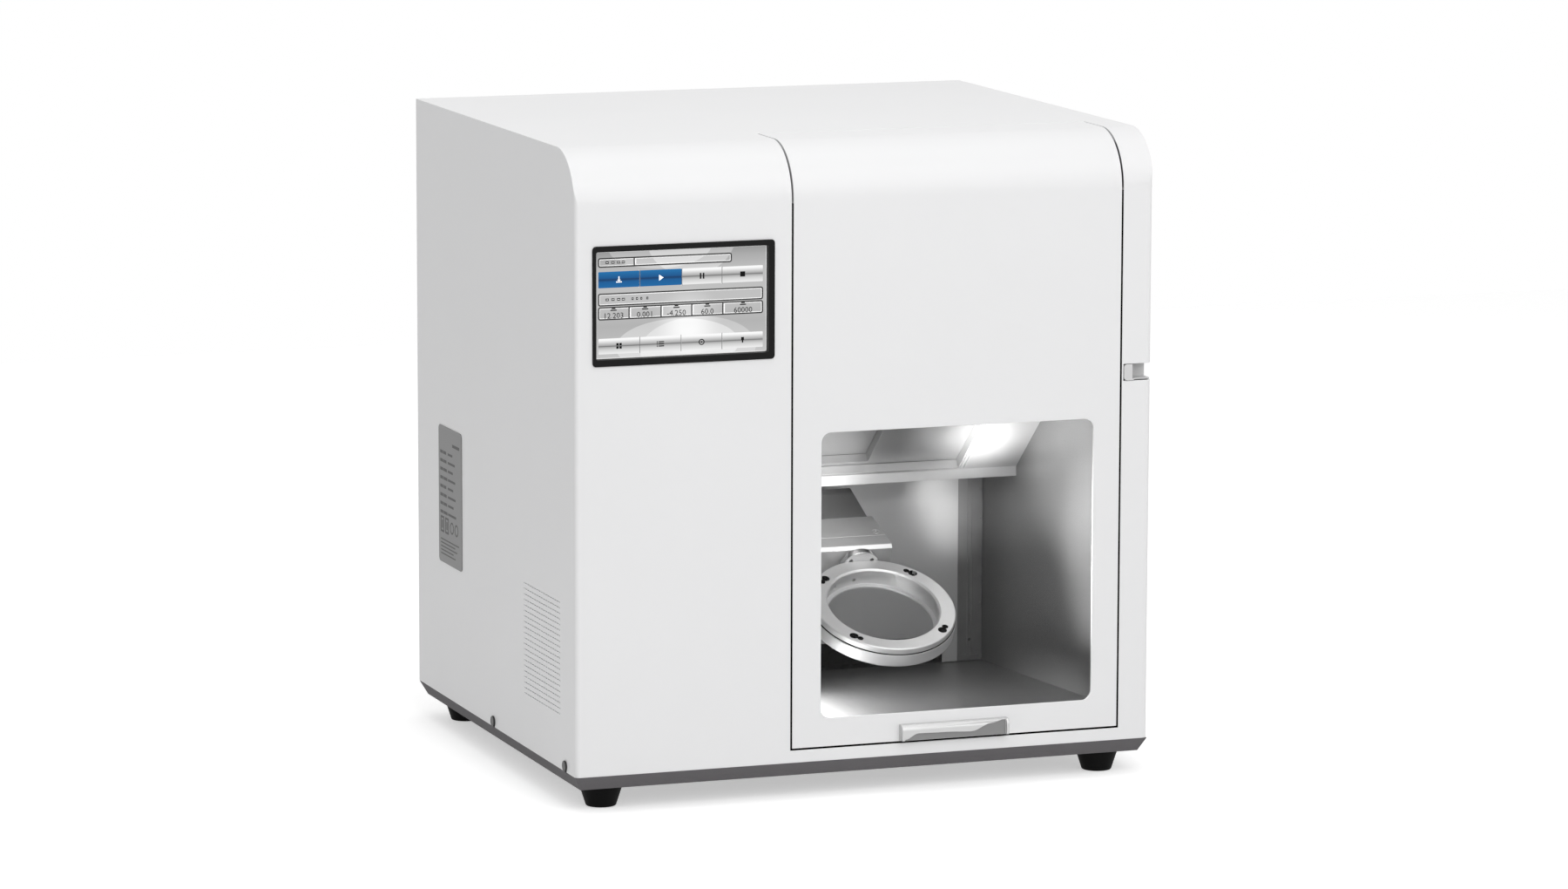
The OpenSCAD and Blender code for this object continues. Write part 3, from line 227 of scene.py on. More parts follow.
WHITE_COAT = Finish("white powder coat", (0.80, 0.80, 0.805), 0.42, grain=1400, relief=2e-5,
                    mottle=9, shade=0.012)
BASE_COAT = Finish("grey powder coat", (0.138, 0.133, 0.138), 0.7, grain=1500, relief=4e-5,
                   mottle=30, shade=0.05, specular=0.12)
# Copies of one brushed steel liner, each with its own brightness as painted light and shade: the ceiling and
# the back panel painted lighter, the floor and the walls painted darker.
CEILING_LINER_PAINTED_LIGHT = Finish("brushed liner across, painted light", grey(0.46), 0.40, 0.5, 900, 2e-5, 12, 0.08, run=Axis.X)
FLOOR_LINER_PAINTED_SHADE = Finish("brushed liner back, painted shade", grey(0.15), 0.36, 0.5, 900, 2e-5, 12, 0.10, run=Axis.Y)
BACK_PANEL_PAINTED_LIGHT = Finish("back panel, painted light", grey(0.40), 0.36, 0.5, 900, 2e-5, 12, 0.06, run=Axis.Z)
WALL_LINER_PAINTED_SHADE = Finish("brushed liner up, painted shade", grey(0.17), 0.32, 0.6, 900, 2e-5, 12, 0.10, run=Axis.Z)
STRIP_STEEL = Finish("galvanised strip", grey(0.15), 0.45, 0.6, 500, 3e-5, 60, 0.3)
COVER_STEEL = Finish("satin cover sheet", grey(0.34), 0.4, 0.6, 1200, 2e-5, 20, 0.08, run=Axis.X)
BLASTED = Finish("bead-blasted aluminium", grey(0.56), 0.42, 0.55, 2600, 3e-5, 60, 0.05)
ANODISED = Finish("anodised aluminium", grey(0.45), 0.4, 1.0, 2200, 3e-5, 40, 0.04)
GREY_ANODISED = Finish("grey anodised cover", grey(0.20), 0.42, 0.7, 2200, 3e-5, 40, 0.06)
TURNED = Finish("turned steel", grey(0.60), 0.24, 1.0, 1800, 2e-5, 90, 0.05)
DARK_STEEL = Finish("blackened steel", grey(0.045), 0.38, 0.8, 1800, 2e-5, 80, 0.15)
BLACK_MOULD = Finish("black moulding", grey(0.006), 0.42, 0.0, 2400, 3e-5, 60, 0.2, 0.12)
GREY_MOULD = Finish("grey moulding", grey(0.20), 0.5, 0.0, 2400, 3e-5, 60, 0.05)
LIGHT_MOULD = Finish("light moulding", grey(0.62), 0.4, 0.0, 2400, 2e-5, 60, 0.03)
RED_MOULD = Finish("red rocker", (0.42, 0.012, 0.01), 0.25, 0.0, 1800, 1e-5, 60, 0.05)
RUBBER = Finish("black rubber", grey(0.004), 0.6, 0.0, 1600, 5e-5, 50, 0.2, 0.08)
FOAM = Finish("black foam seal", grey(0.003), 0.9, 0.0, 900, 1e-4, 50, 0.2, 0.0)
BRASS = Finish("turned brass", (0.62, 0.46, 0.20), 0.28, 1.0, 1800, 2e-5, 60, 0.06)
PLATE = Finish("printed plate", grey(0.19), 0.45, 0.3, 2000, 1e-5, 40, 0.04)
PANE = Finish("clear pane", grey(0.25), 0.03, 0.0, alpha=0.02)
# Black for the clamp screws, which are black oxide, and painted shade on the disc holder's keyhole walls and
# on the seat seen through them.
BLACK_SCREWS_AND_POCKET_SHADE = Finish("black oxide screws and painted pocket shade", grey(0.004), 0.5, 0.0, 1800, 2e-5, 80, 0.2, 0.06)
# Painted shade for the handle's scoop: the handle's blasted metal, painted darker.
SCOOP_PAINTED_SHADE = Finish("scoop painted shade", grey(0.22), 0.42, 0.5, 2600, 3e-5, 60, 0.05, run=Axis.X)
SEAL = Finish("pale seal", grey(0.62), 0.5, grain=1800, relief=2e-5)
SCREEN_FACE = Finish("lit screen", grey(0.52), 0.12, 0.0, glow=0.25)


@dataclass
class Piece:
    """A finished piece of the machine: where it rides and what it takes the place of."""

    name: str
    body: str
    slot: str
    finish: Surface
    stands_for: Sequence[str] = ()

    def settle(self, obj: Object) -> None:
        """Name and dress a made object, hang it on its body and hide the nodes it takes the place of.

        Args:
            obj: the object, at the origin with its place in its mesh.
        """
        obj.name = self.name
        if not obj.data.materials:
            obj.data.materials.append(self.finish.material())
        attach(obj, self.body)
        if self.stands_for:
            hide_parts(*self.stands_for)
        LOG.info("%s: %d faces on %s", self.name, len(obj.data.polygons), self.body)


def link(name: str, data: ID) -> Object:
    """Put a mesh, a lamp or the like into the scene as an object at the origin.

    Args:
        name: the object's name.
        data: what it shows.
    Returns:
        The object.
    """
    obj = bpy.data.objects.new(name, data)
    bpy.context.scene.collection.objects.link(obj)
    return obj


def made_mesh(name: str, work: BMesh) -> Mesh:
    """Turn a mesh that was being edited into a plain one.

    Args:
        name: the new mesh's name.
        work: the edited mesh, which is freed.
    Returns:
        The plain mesh.
    """
    mesh = bpy.data.meshes.new(name)
    work.to_mesh(mesh)
    work.free()
    return mesh


def baked(obj: Object) -> Object:
    """Turn an object's modifiers into a plain mesh and drop them.

    Args:
        obj: the object with live modifiers.
    Returns:
        The same object with its final mesh.
    """
    graph = bpy.context.evaluated_depsgraph_get()
    mesh = bpy.data.meshes.new_from_object(obj.evaluated_get(graph))
    obj.modifiers.clear()
    obj.data = mesh
    return obj


def smooth(mesh: Mesh, crease: float = 32.0) -> None:
    """Shade a mesh smooth except over its creases, an angle in degrees."""
    mesh.shade_smooth()
    mesh.set_sharp_from_angle(angle=math.radians(crease))


def eased_copy(node: str, radius: float, segments: int = 2, crease: float = 30.0) -> Object:
    """A copy of a CAD node's shape with its sharp edges eased.

    Args:
        node: the CAD node's name.
        radius: the edge radius in millimetres.
        segments: the faces across an eased edge.
        crease: edges sharper than this, in degrees, are eased.
    Returns:
        The new object.
    """
    work = bmesh.new()
    work.from_mesh(frame["nodes"][node].data)
    bmesh.ops.remove_doubles(work, verts=work.verts, dist=1e-6)
    bmesh.ops.recalc_face_normals(work, faces=work.faces)
    bmesh.ops.dissolve_limit(work, angle_limit=math.radians(0.5), verts=work.verts, edges=work.edges)
    mesh = made_mesh(node + "_eased", work)
    mesh.shade_smooth()
    obj = link(node + "_eased", mesh)
    bevel = obj.modifiers.new("eased edges", "BEVEL")
    bevel.width = radius * MM
    bevel.segments = segments
    bevel.limit_method = "ANGLE"
    bevel.angle_limit = math.radians(crease)
    bevel.use_clamp_overlap = False
    even = obj.modifiers.new("even shading", "WEIGHTED_NORMAL")
    even.weight = 100
    even.keep_sharp = True
    return baked(obj)


@dataclass
class EasedPart:
    """A CAD node that shows as it is, with its edges eased and a finish on it."""

    node: str
    body: str
    slot: str
    finish: Finish
    radius: float = 0.3
    segments: int = 2

    def build(self) -> None:
        """Make the eased piece in place of the node."""
        obj = eased_copy(self.node, self.radius, self.segments)
        self.dress(obj.data)
        Piece(f"{self.node}_eased", self.body, self.slot, self.finish, (self.node,)).settle(obj)

    def dress(self, mesh: Mesh) -> None:
        """Give the mesh its finish and nothing else."""
        mesh.materials.clear()
        mesh.materials.append(self.finish.material())


class Shape(Enum):
    """A small shape that a grid repeats, as the node that makes it."""

    BLOCK = "GeometryNodeMeshCube"
    DOME = "GeometryNodeMeshUVSphere"
    PRISM = "GeometryNodeMeshCylinder"

    def settings(self, sides: int) -> dict[str, float]:
        """The settings of the node that makes the shape.

        Args:
            sides: how many sides the shape has.
        Returns:
            Each setting by its input's name.
        """
        if self is Shape.DOME:
            return {"Segments": sides, "Rings": sides // 2, "Radius": 1.0}
        return {"Vertices": sides, "Radius": 1.0} if self is Shape.PRISM else {}


@dataclass
class Grid:
    """A grid of one small shape, laid out with Geometry Nodes; all lengths are in millimetres.

    size scales a shape that is two across (a block is one across); turn is the shape's own
    turn in degrees and spin is the most that each one is turned further, picked by the seed.
    """

    name: str
    shape: Shape
    start: Sequence[float]
    step: Sequence[float]
    count: int
    size: Sequence[float]
    rise: Sequence[float] = (0.0, 0.0, 0.0)
    rows: int = 1
    sides: int = 24
    turn: Sequence[float] = (0.0, 0.0, 0.0)
    spin: Sequence[float] = (0.0, 0.0, 0.0)
    seed: int = 4

    def _values(self, finish: Finish) -> dict[str, tuple[str, object]]:
        """The tree's inputs.

        Args:
            finish: the grid's finish.
        Returns:
            Each input's kind and value, by its name.
        """
        numbers = {"Count": self.count, "Rows": self.rows, "Seed": self.seed}
        lengths = {"Start": self.start, "Step": self.step, "Rise": self.rise, "Size": self.size}
        angles = {"Turn": self.turn, "Spin": self.spin}
        values = {name: ("NodeSocketInt", value) for name, value in numbers.items()}
        values |= {name: ("NodeSocketVector", tuple(c * MM for c in v)) for name, v in lengths.items()}
        values |= {name: ("NodeSocketVector", tuple(map(math.radians, v))) for name, v in angles.items()}
        return values | {"Finish": ("NodeSocketMaterial", finish.material())}

    def _tree(self, values: dict[str, tuple[str, object]]) -> NodeTree:
        """Rows of points, one shape on each, made real and given the finish.

        Args:
            values: the inputs, by name.
        Returns:
            The node tree.
        """
        tree = bpy.data.node_groups.new(self.name + " grid", "GeometryNodeTree")
        tree.interface.new_socket("Geometry", in_out="OUTPUT", socket_type="NodeSocketGeometry")
        for name, (kind, _) in values.items():
            tree.interface.new_socket(name, in_out="INPUT", socket_type=kind)
        given = tree.nodes.new("NodeGroupInput").outputs
        row = add_node(tree, "GeometryNodeMeshLine", {
            "Count": given["Count"], "Start Location": given["Start"], "Offset": given["Step"],
        })
        column = add_node(tree, "GeometryNodeMeshLine", {"Count": given["Rows"], "Offset": given["Rise"]})
        spread = add_node(tree, "GeometryNodeInstanceOnPoints", {
            "Points": column.outputs["Mesh"], "Instance": row.outputs["Mesh"],
        })
        points = add_node(tree, "GeometryNodeRealizeInstances", {"Geometry": spread.outputs["Instances"]})
        chance = add_node(tree, "FunctionNodeRandomValue", {
            "Min": (0, 0, 0), "Max": given["Spin"], "Seed": given["Seed"],
        }, data_type="FLOAT_VECTOR")
        turned = add_node(tree, "ShaderNodeVectorMath", {0: given["Turn"], 1: chance.outputs["Value"]})
        euler = add_node(tree, "FunctionNodeEulerToRotation", {"Euler": turned.outputs["Vector"]})
        shape = add_node(tree, self.shape.value, self.shape.settings(self.sides))
        copies = add_node(tree, "GeometryNodeInstanceOnPoints", {
            "Points": points.outputs["Geometry"], "Instance": shape.outputs["Mesh"],
            "Rotation": euler.outputs["Rotation"], "Scale": given["Size"],
        })
        real = add_node(tree, "GeometryNodeRealizeInstances", {"Geometry": copies.outputs["Instances"]})
        dressed = add_node(tree, "GeometryNodeSetMaterial", {
            "Geometry": real.outputs["Geometry"], "Material": given["Finish"],
        })
        add_node(tree, "NodeGroupOutput", {"Geometry": dressed.outputs["Geometry"]})
        return tree

    def build(self, body: str, slot: str, finish: Finish) -> None:
        """Lay the grid out and make it a plain piece.

        Args:
            body: the body it rides on.
            slot: its material slot, which is not used.
            finish: its finish.
        """
        obj = link(self.name, bpy.data.meshes.new(self.name))
        values = self._values(finish)
        layout = obj.modifiers.new("grid", "NODES")
        layout.node_group = self._tree(values)
        for item in layout.node_group.interface.items_tree:
            if item.in_out == "INPUT":
                layout[item.identifier] = values[item.name][1]
        baked(obj)
        if self.shape is not Shape.BLOCK:
            smooth(obj.data)
        Piece(self.name, body, slot, finish).settle(obj)


def dress(node: str, finish: Finish) -> None:
    """Give a CAD node that stays as it is a finish.

    Args:
        node: the CAD node's name.
        finish: its finish.
    """
    mesh = frame["nodes"][node].data
    mesh.materials.clear()
    mesh.materials.append(finish.material())


@dataclass(frozen=True)
class LitShades(Surface):
    """A lit surface whose colour changes upwards through a fixed row of colours.

    low and high are where the row of colours starts and ends, in metres up.
    """

    name: str
    low: float
    high: float
    stops: tuple[tuple[float, Colour], ...]
    roughness: float = 0.2

    def paint(self, made: Material, tree: NodeTree, shader: Node) -> None:
        """Set the shader to give off the colours.

        Args:
            made: the material.
            tree: its node tree.
            shader: its shader.
        """
        feed(tree, shader, {
            "Base Color": (*grey(0.01), 1.0), "Roughness": self.roughness, "Specular IOR Level": 0.08,
            "Emission Color": self.colours(tree), "Emission Strength": 1.0,
        })

    def colours(self, tree: NodeTree) -> NodeSocket:
        """The row of colours, laid upwards.

        Args:
            tree: the material's node tree.
        Returns:
            The colour socket.
        """
        place = add_node(tree, "ShaderNodeTexCoord")
        split = add_node(tree, "ShaderNodeSeparateXYZ", {"Vector": place.outputs["Object"]})
        span = add_node(tree, "ShaderNodeMapRange", {
            "Value": split.outputs["Z"], "From Min": self.low, "From Max": self.high,
        })
        ramp = add_node(tree, "ShaderNodeValToRGB", {"Fac": span.outputs["Result"]})
        row = ramp.color_ramp.elements
        while len(row) < len(self.stops):
            row.new(0.5)
        for slot, (where, colour) in zip(row, self.stops):
            slot.position = where
            slot.color = (*colour, 1.0)
        return ramp.outputs["Color"]


@dataclass(frozen=True)
class Glow:
    """A soft-edged ellipse of light on the screen's background.

    Its middle (from the screen's lower middle) and half sizes are parts of the screen's width
    and height; edge is the part of its radius over which it fades.
    """

    across: float
    up: float
    half_width: float
    half_height: float
    gain: float
    edge: float = 0.02


@dataclass(frozen=True)
class ScreenBackground(LitShades):
    """The screen's silver background: rising shades with overlapping ellipses of light.

    middle is the screen's middle from left to right and width its width, in metres.
    """

    middle: float = 0.0
    width: float = 1.0
    glows: tuple[Glow, ...] = ()

    def colours(self, tree: NodeTree) -> NodeSocket:
        """The rising shades with every ellipse added.

        Args:
            tree: the material's node tree.
        Returns:
            The colour socket.
        """
        height = self.high - self.low
        total = super().colours(tree)
        for glow in self.glows:
            centre = (self.middle + glow.across * self.width, 0.0, self.low + glow.up * height)
            place = add_node(tree, "ShaderNodeTexCoord")
            ellipse = add_node(tree, "ShaderNodeMapping", {
                "Vector": place.outputs["Object"], "Location": centre,
                "Scale": (glow.half_width * self.width, 1e6, glow.half_height * height),
            }, vector_type="TEXTURE")
            reach = add_node(tree, "ShaderNodeVectorMath", {0: ellipse.outputs["Vector"]}, operation="LENGTH")
            soft = add_node(tree, "ShaderNodeMapRange", {
                "Value": reach.outputs["Value"], "From Min": 1.0 - glow.edge, "From Max": 1.0,
                "To Min": glow.gain, "To Max": 0.0,
            }, interpolation_type="SMOOTHSTEP")
            add = add_node(tree, "ShaderNodeMix", {
                "A": total, "B": soft.outputs["Result"], "Factor": 1.0,
            }, data_type="RGBA", blend_type="ADD")
            total = add.outputs["Result"]
        return total


@dataclass(frozen=True)
class Face:
    """A flat place on the machine that thin shapes lie on, measured in millimetres."""

    corner: Vector
    across: Vector
    up: Vector
    width: float
    height: float

    def at(self, u: float, v: float, lift: float = 0.0) -> Vector:
        """A point on the face.

        Args:
            u: millimetres across.
            v: millimetres up.
            lift: millimetres out of the face.
        Returns:
            The point in the machine's frame, in metres.
        """
        out = self.across.cross(self.up)
        return self.corner + (self.across * u + self.up * v + out * lift) * MM

    @classmethod
    def front_of(cls, node: str) -> "Face":
        """The front of a CAD node.

        Args:
            node: the CAD node's name.
        Returns:
            The face, seen from the front.
        """
        low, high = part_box(node)
        size = (high - low) / MM
        return cls(Vector(low), Vector((1, 0, 0)), Vector((0, 0, 1)), size.x, size.z)

    @classmethod
    def left_of(cls, node: str) -> "Face":
        """The left side of a CAD node.

        Args:
            node: the CAD node's name.
        Returns:
            The face, seen from the left.
        """
        low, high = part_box(node)
        size = (high - low) / MM
        return cls(Vector((low.x, high.y, low.z)), Vector((0, -1, 0)), Vector((0, 0, 1)), size.y, size.z)


@dataclass(frozen=True)
class Rect:
    """A rectangle on a face: its left, lower, right and upper edges, in millimetres."""

    left: float
    low: float
    right: float
    top: float

    def inset(self, by: float) -> "Rect":
        """The same rectangle with every edge moved in."""
        return Rect(self.left + by, self.low + by, self.right - by, self.top - by)

    def middle(self) -> Point:
        """Its middle."""
        return ((self.left + self.right) / 2, (self.low + self.top) / 2)

    def square(self) -> tuple[Point, ...]:
        """Its outline, anticlockwise."""
        return ((self.left, self.low), (self.right, self.low), (self.right, self.top), (self.left, self.top))

    def rounded(self, radius: float, steps: int = 5) -> tuple[Point, ...]:
        """Its outline with round corners, anticlockwise.

        Args:
            radius: the corners' radius.
            steps: the sides of each corner.
        Returns:
            The outline's points.
        """
        inner = self.inset(radius)
        corners = ((inner.right, inner.low, -90), (inner.right, inner.top, 0), (inner.left, inner.top, 90),
                   (inner.left, inner.low, 180))
        turns = [(u, v, math.radians(a + 90 * i / steps)) for u, v, a in corners for i in range(steps + 1)]
        return tuple((u + radius * math.cos(t), v + radius * math.sin(t)) for u, v, t in turns)


def disc(u: float, v: float, radius: float, steps: int = 24) -> tuple[Point, ...]:
    """Outline of a circle, anticlockwise."""
    turns = [2 * math.pi * i / steps for i in range(steps)]
    return tuple((u + radius * math.cos(t), v + radius * math.sin(t)) for t in turns)


def moved(outline: Sequence[Point], by: Point) -> tuple[Point, ...]:
    """An outline moved across and up."""
    return tuple((u + by[0], v + by[1]) for u, v in outline)


class Layer(Enum):
    """How far the back and the front of a printed layer lie out of its face, in millimetres."""

    PRINT = (0.0, 0.05)
    BACKGROUND = (0.0, 0.06)
    EDGE = (0.06, 0.10)
    LIGHT_LINE = (0.06, 0.11)
    LINE = (0.06, 0.12)
    SEAM = (0.06, 0.14)
    BUTTON = (0.06, 0.16)
    SHINE = (0.12, 0.13)
    SIGN = (0.16, 0.20)


def band(work: BMesh, first: list[BMVert], second: list[BMVert]) -> None:
    """Join two loops of corners with a band of faces."""
    for corners in zip(first, first[1:] + first[:1], second[1:] + second[:1], second):
        work.faces.new(corners)


@dataclass
class Overlay:
    """Thin shapes that lie on a face, gathered into one mesh for each finish."""

    face: Face
    meshes: dict[Surface, BMesh] = field(default_factory=dict)

    def _work(self, finish: Surface) -> BMesh:
        """The mesh that takes a finish's shapes.

        Args:
            finish: the finish.
        Returns:
            The mesh, which is new for a new finish.
        """
        if finish not in self.meshes:
            self.meshes[finish] = bmesh.new()
        return self.meshes[finish]

    def tile(self, finish: Surface, layer: Layer, outline: Sequence[Point],
             hole: Sequence[Point] = ()) -> None:
        """Add a flat shape, which is a ring where it has a hole.

        Args:
            finish: its finish.
            layer: how far out of the face it lies.
            outline: its outline, anticlockwise.
            hole: its hole's outline, anticlockwise, with as many points.
        """
        work = self._work(finish)
        back, front, hole_back, hole_front = (
            [work.verts.new(self.face.at(u, v, lift)) for u, v in line]
            for line in (outline, hole) for lift in layer.value)
        band(work, back, front)
        if hole:
            band(work, front, hole_front)
            band(work, hole_front, hole_back)
            band(work, hole_back, back)
        else:
            work.faces.new(front)
            work.faces.new(list(reversed(back)))

    def bar(self, finish: Surface, layer: Layer, left: float, low: float, right: float, top: float) -> None:
        """Add a plain rectangle from its four edges."""
        self.tile(finish, layer, Rect(left, low, right, top).square())

    def digits(self, finish: Surface, layer: Layer, text: str, foot: Point, size: float) -> None:
        """Add a centred row of digits.

        Args:
            finish: their finish.
            layer: how far out of the face they lie.
            text: the digits.
            foot: the middle of the row's foot.
            size: the height of a line of them.
        """
        low, high = layer.value
        curve = bpy.data.curves.new("digits", "FONT")
        curve.body = text
        curve.size = size
        curve.align_x = "CENTER"
        curve.extrude = (high - low) / 2
        curve.resolution_u = 2
        figures = link("digits", curve)
        mesh = bpy.data.meshes.new_from_object(figures.evaluated_get(bpy.context.evaluated_depsgraph_get()))
        bpy.data.objects.remove(figures)
        bpy.data.curves.remove(curve)
        for vert in mesh.vertices:
            vert.co = self.face.at(foot[0] + vert.co.x, foot[1] + vert.co.y, (low + high) / 2 + vert.co.z)
        self._work(finish).from_mesh(mesh)
        bpy.data.meshes.remove(mesh)

    def settle(self, name: str, body: str, slot: str) -> None:
        """Make the pieces, one for each finish.

        Args:
            name: the start of every piece's name.
            body: the body that they ride on.
            slot: their material slot, which is not used.
        """
        for number, (finish, work) in enumerate(self.meshes.items()):
            bmesh.ops.recalc_face_normals(work, faces=work.faces)
            Piece(f"{name}_{number + 1}", body, slot, finish).settle(link(name, made_mesh(name, work)))


SILVER_STOPS = ((0.0, grey(0.86)), (0.3, grey(0.62)), (0.44, grey(0.42)), (0.5, grey(0.16)),
                (0.56, grey(0.40)), (0.72, grey(0.62)), (0.9, grey(0.95)))
BLUE_STOPS = ((0.0, (0.004, 0.130, 0.36)), (0.35, (0.003, 0.105, 0.31)), (0.5, (0.002, 0.04, 0.13)),
              (0.6, (0.003, 0.09, 0.27)), (1.0, (0.008, 0.16, 0.41)))
SCREEN_STOPS = ((0.0, grey(0.56)), (0.12, grey(0.50)), (0.30, grey(0.44)), (0.5, grey(0.52)),
                (0.8, grey(0.50)), (0.92, grey(0.40)), (1.0, grey(0.30)))
SCREEN_GLOWS = (
    Glow(-0.02, 0.10, 0.36, 0.25, 0.16),
    Glow(0.10, 0.06, 0.34, 0.30, 0.12),
    Glow(0.04, 0.30, 0.22, 0.40, 0.22, 0.9),
    Glow(-0.12, 1.02, 0.30, 0.20, 0.14),
    Glow(0.06, 1.10, 0.26, 0.36, 0.16),
)
INK = Finish("screen ink", grey(0.006), 0.4, specular=0.05)
LINE = Finish("screen line", grey(0.05), 0.4, specular=0.05)
PALE_LINE = Finish("screen light line", grey(0.75), 0.4, specular=0.05, glow=0.4)
PALE_INK = Finish("screen light ink", grey(0.85), 0.4, specular=0.05, glow=0.7)
PLATE_INK = Finish("plate print", grey(0.02), 0.5, grain=2200, relief=1e-5)


class Icon(Enum):
    """A simple sign on a screen button: its outlines round the button's middle, in millimetres.

    An outline that comes with a hole's outline makes a ring.
    """

    LOAD = ((Rect(-2.4, -2.4, 2.4, -1.6).square(),), (Rect(-0.45, -0.6, 0.45, 2.4).square(),),
            (((-1.6, -0.3), (0.0, -1.3), (1.6, -0.3)),))
    RUN = ((((-1.6, -2.4), (2.2, 0.0), (-1.6, 2.4)),),)
    PAUSE = ((Rect(-1.9, -2.4, -0.6, 2.4).square(),), (Rect(0.6, -2.4, 1.9, 2.4).square(),))
    STOP = ((Rect(-2.1, -2.1, 2.1, 2.1).square(),),)
    GRID = tuple((Rect(u - 1, v - 1, u + 1, v + 1).rounded(0.3),) for u in (-1.3, 1.3) for v in (-1.3, 1.3))
    LIST = tuple((line,) for v in (-1.7, 0.0, 1.7)
                 for line in (Rect(-1.6, v - 0.45, 3.0, v + 0.45).square(), disc(-2.7, v, 0.55, 12)))
    RING = ((disc(0, 0, 2.5), disc(0, 0, 1.7)), (disc(0, 0, 0.7, 12),))
    TOOL = ((Rect(-1.2, -0.2, 1.2, 2.4).square(),),
            (((-0.6, -0.2), (-0.6, -1.9), (0.0, -2.4), (0.6, -1.9), (0.6, -0.2)),))


@dataclass
class TouchScreen:
    """The screen's face: status box, two rows of buttons, information box and readouts.

    Edges run across and bands run up, both as parts of the screen's size; line, corner, the
    figures' size and the words' widths are in millimetres.
    """

    line: float = 1.1
    corner: float = 1.9
    key_gap: float = 0.3
    margin: float = 0.021
    status_right: float = 0.796
    status_split: float = 0.23
    status_band: Point = (0.85, 0.94)
    top_band: Point = (0.66, 0.81)
    info_band: Point = (0.49, 0.61)
    readout_band: Point = (0.36, 0.483)
    low_band: Point = (0.044, 0.189)
    top_edges: tuple[float, ...] = (0.021, 0.262, 0.506, 0.739, 0.979)
    low_edges: tuple[float, ...] = (0.021, 0.262, 0.501, 0.739, 0.979)
    readout_edges: tuple[float, ...] = (0.021, 0.20, 0.385, 0.563, 0.744, 0.979)
    readouts: tuple[str, ...] = ("12.203", "0.001", "-4.250", "60.0", "60000")
    figure_size: float = 6.4
    figure_foot: float = 0.375
    mark_foot: float = 0.445
    words: tuple[Point, ...] = ((0.065, 2.6), (0.098, 2.6), (0.131, 2.6), (0.158, 2.6))
    short_words: tuple[Point, ...] = ((0.215, 1.6), (0.24, 1.6), (0.265, 1.6), (0.30, 1.6))

    def __post_init__(self) -> None:
        """Find the screen's front."""
        self.face = Face.front_of("touch_screen")
        self.over = Overlay(self.face)

    def build(self) -> None:
        """Lay every element on the screen."""
        whole = (self.margin, 1.0 - self.margin)
        self._background()
        self._box((self.margin, self.status_right), self.status_band, (self.status_split,))
        self._buttons(self.top_edges, self.top_band, (Icon.LOAD, Icon.RUN, Icon.PAUSE, Icon.STOP), 2)
        self._box(whole, self.info_band)
        self._box(whole, self.readout_band, self.readout_edges[1:-1])
        self._buttons(self.low_edges, self.low_band, (Icon.GRID, Icon.LIST, Icon.RING, Icon.TOOL), 0)
        self._words(sum(self.status_band) / 2, self.words)
        self._words(sum(self.info_band) / 2, self.words + self.short_words)
        self._numbers()
        self.over.settle("screen_layer", "frame", "display")

    def _area(self, edges: Point, band: Point) -> Rect:
        """A part of the screen in millimetres, from its edges across and its band up."""
        return Rect(edges[0] * self.face.width, band[0] * self.face.height,
                    edges[1] * self.face.width, band[1] * self.face.height)

    def _background(self) -> None:
        """The silver background with its fan of light and a light edge."""
        low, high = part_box("touch_screen")
        finish = ScreenBackground("screen background", low.z, high.z, SCREEN_STOPS, 0.15,
                                  (low.x + high.x) / 2, high.x - low.x, SCREEN_GLOWS)
        edge = self._area((0, 1), (0, 1)).inset(0.3)
        self.over.tile(finish, Layer.BACKGROUND, edge.rounded(1.0))
        self.over.tile(PALE_LINE, Layer.EDGE, edge.rounded(1.0), edge.inset(0.6).rounded(0.6))

    def _box(self, edges: Point, band: Point, splits: Sequence[float] = ()) -> None:
        """A thin rounded box with upright dividers.

        Args:
            edges: its left and right edges.
            band: its lower and upper edges.
            splits: the dividers, as parts of the width.
        """
        line, box = self.line, self._area(edges, band)
        inner = box.inset(line)
        self.over.tile(LINE, Layer.LINE, box.rounded(self.corner), inner.rounded(self.corner - line))
        self.over.tile(PALE_LINE, Layer.LIGHT_LINE, inner.rounded(0.8), box.inset(1.5 * line).rounded(0.7))
        for split in splits:
            left = split * self.face.width - line / 2
            self.over.bar(LINE, Layer.LINE, left, inner.low, left + line, inner.top)
            self.over.bar(PALE_LINE, Layer.LIGHT_LINE, left + line, inner.low, left + 2 * line, inner.top)

    def _buttons(self, edges: Sequence[float], band: Point, icons: Sequence[Icon], blue: int) -> None:
        """A row of banded buttons with signs and a seam between neighbours.

        Args:
            edges: the buttons' edges.
            band: the row's lower and upper edges.
            icons: the signs, left to right.
            blue: how many buttons from the left are blue.
        """
        low, high = (self.face.at(0, part * self.face.height).z for part in band)
        silver = LitShades(f"silver button row {band[0]}", low, high, SILVER_STOPS)
        deep = LitShades(f"blue button row {band[0]}", low, high, BLUE_STOPS)
        for number, (left, right, icon) in enumerate(zip(edges, edges[1:], icons)):
            shades, ink = (deep, PALE_INK) if number < blue else (silver, INK)
            area = self._area((left, right), band)
            key = Rect(area.left + self.key_gap, area.low, area.right - self.key_gap, area.top)
            self.over.tile(shades, Layer.BUTTON, key.rounded(0.5))
            if number:
                foot, head = area.low - 0.6, area.top + 0.4
                self.over.bar(LINE, Layer.SEAM, area.left - 0.25, foot, area.left + 0.15, head)
                self.over.bar(PALE_LINE, Layer.SEAM, area.left - 0.75, foot, area.left - 0.25, head)
            for outlines in icon.value:
                self.over.tile(ink, Layer.SIGN, *(moved(line, area.middle()) for line in outlines))

